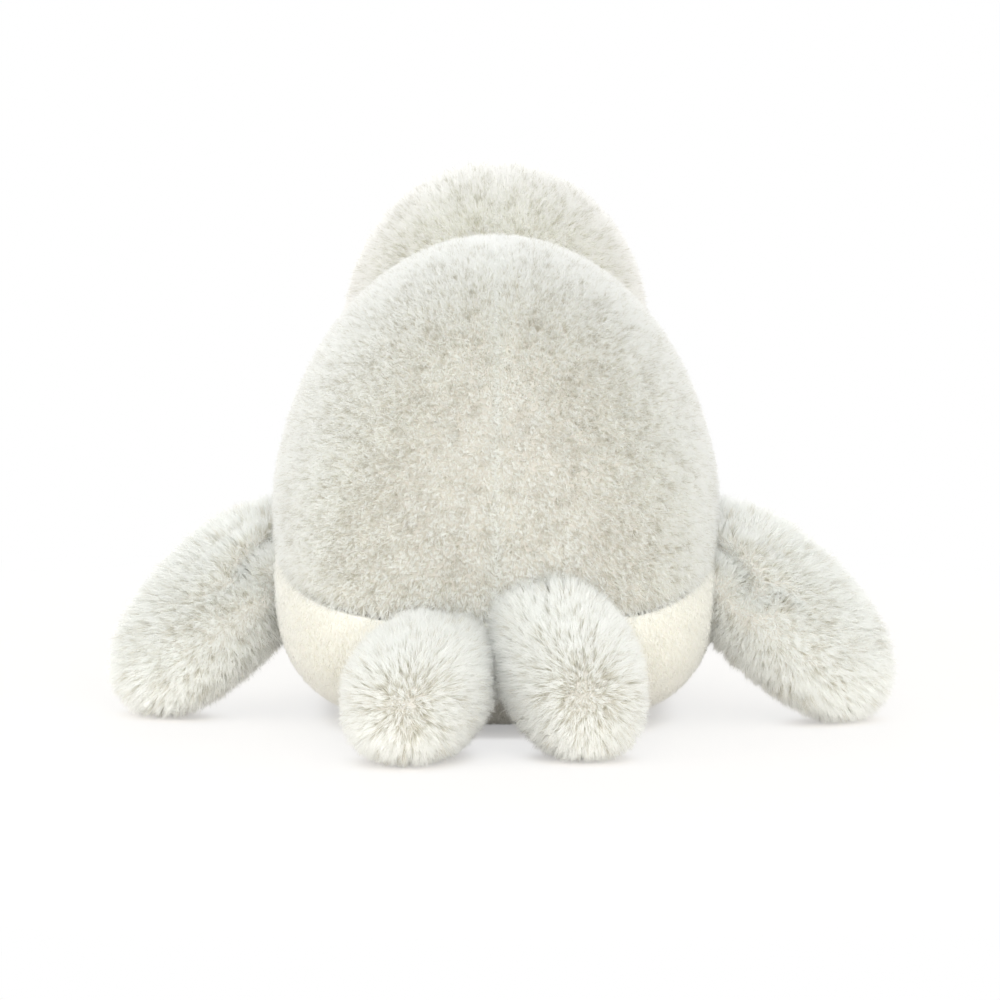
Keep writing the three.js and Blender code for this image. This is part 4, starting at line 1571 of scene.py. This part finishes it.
def makeCamera():
    rise = math.radians(view["elevation"])
    toCamera = np.array([0.0, math.cos(rise), math.sin(rise)])
    up = np.array([0.0, -math.sin(rise), math.cos(rise)])
    target = np.array(view["target"]) + frameShift
    place = (target + toCamera * view["distance"]) * millimetre
    aim = (target - up * view["aimDown"] + leftward * view["aimLeft"]) * millimetre
    camera = addObject("camera", bpy.data.cameras.new("camera"))
    camera.data.lens = view["lens"]
    camera.data.sensor_width = 36.0
    camera.data.clip_start = 0.05
    camera.data.clip_end = 20.0
    camera.location = Vector(place)
    camera.rotation_euler = Vector(aim - place).to_track_quat("-Z", "Y").to_euler()
    bpy.context.scene.camera = camera


lamps = {
    "top": {"place": (0.25, 0.35, 1.5), "size": 1.4, "power": 3.0},
    "behindCamera": {"place": (-0.25, 1.95, 0.75), "size": 1.4, "power": 22.5},
    "left": {"place": (1.4, 0.9, 0.4), "size": 1.0, "power": 6.5},
    "right": {"place": (-1.4, 0.9, 0.4), "size": 1.0, "power": 3.5},
    "front": {"place": (0.2, -1.5, 0.9), "size": 1.2, "power": 8.0},
}
# paler towards the horizon
world = {"level": 0.92, "zenith": 0.62, "rise": (0.1, 0.9), "colour": (1.0, 0.995, 0.985, 1.0)}


def makeLights():
    for name, lamp in lamps.items():
        light = bpy.data.lights.new(name, "AREA")
        light.size = lamp["size"]
        light.energy = lamp["power"]
        holder = addObject(name, light)
        holder.location = Vector(lamp["place"])
        holder.rotation_euler = (Vector((0, 0, 0.06)) - holder.location).to_track_quat("-Z", "Y").to_euler()


def makeWorld():
    sky = bpy.data.worlds.new("studio")
    bpy.context.scene.world = sky
    sky.use_nodes = True
    tree = sky.node_tree
    height = addNode(tree, "SeparateXYZ", {0: addNode(tree, "TexCoord", {})["Generated"]})["Z"]
    strength = ramped(tree, height, *world["rise"], world["level"], world["zenith"])
    soft = wire(tree, tree.nodes["Background"], {"Color": world["colour"], "Strength": strength})[0]
    white = addNode(tree, "Background", {"Color": (1.0, 1.0, 1.0, 1.0)})[0]
    seen = addNode(tree, "LightPath", {})["Is Camera Ray"]
    both = addNode(tree, "MixShader", {0: seen, 1: soft, 2: white})[0]
    wire(tree, tree.nodes["World Output"], {"Surface": both})


floorLook = {"colour": (0.98, 0.94, 0.89, 1.0), "least": 0.76, "fadeFrom": 0.2, "fadeTo": 0.42, "size": 4.0,
             "contact": 0.009, "contactLeast": 0.5, "contactRange": (0.25, 0.85)}


def makeFloor():
    mesh = bpy.data.meshes.new("floor")
    half = floorLook["size"] / 2
    corners = [(-half, -half, 0), (half, -half, 0), (half, half, 0), (-half, half, 0)]
    mesh.from_pydata(corners, [], [(0, 1, 2, 3)])
    floor = addObject("floor", mesh)
    material, tree, shader = startMaterial("pale floor", {
        "Base Color": floorLook["colour"], "Roughness": 0.9, "Specular IOR Level": 0.1})
    white = addNode(tree, "Emission", {})[0]
    path = addNode(tree, "LightPath", {})
    seen = combined(tree, "MAXIMUM", path["Is Camera Ray"], path["Is Glossy Ray"])
    away = tree.nodes.new("ShaderNodeVectorMath")
    away.operation = "LENGTH"
    wire(tree, away, {0: addNode(tree, "TexCoord", {})["Object"]})
    fade = ramped(tree, away.outputs["Value"], floorLook["fadeFrom"], floorLook["fadeTo"],
                  floorLook["least"])
    # the shadow is deeper where something touches the floor
    contact = tree.nodes.new("ShaderNodeAmbientOcclusion")
    contact.samples = 4
    wire(tree, contact, {"Distance": floorLook["contact"]})
    touch = ramped(tree, contact.outputs["AO"], *floorLook["contactRange"], floorLook["contactLeast"])
    share = combined(tree, "MULTIPLY", combined(tree, "MULTIPLY", seen, fade), touch)
    both = addNode(tree, "MixShader", {0: share, 1: shader.outputs[0], 2: white})[0]
    wire(tree, tree.nodes["Material Output"], {"Surface": both})
    mesh.materials.append(material)


makeCamera()
makeLights()
makeWorld()
makeFloor()
bpy.context.scene.view_settings.view_transform = "Standard"
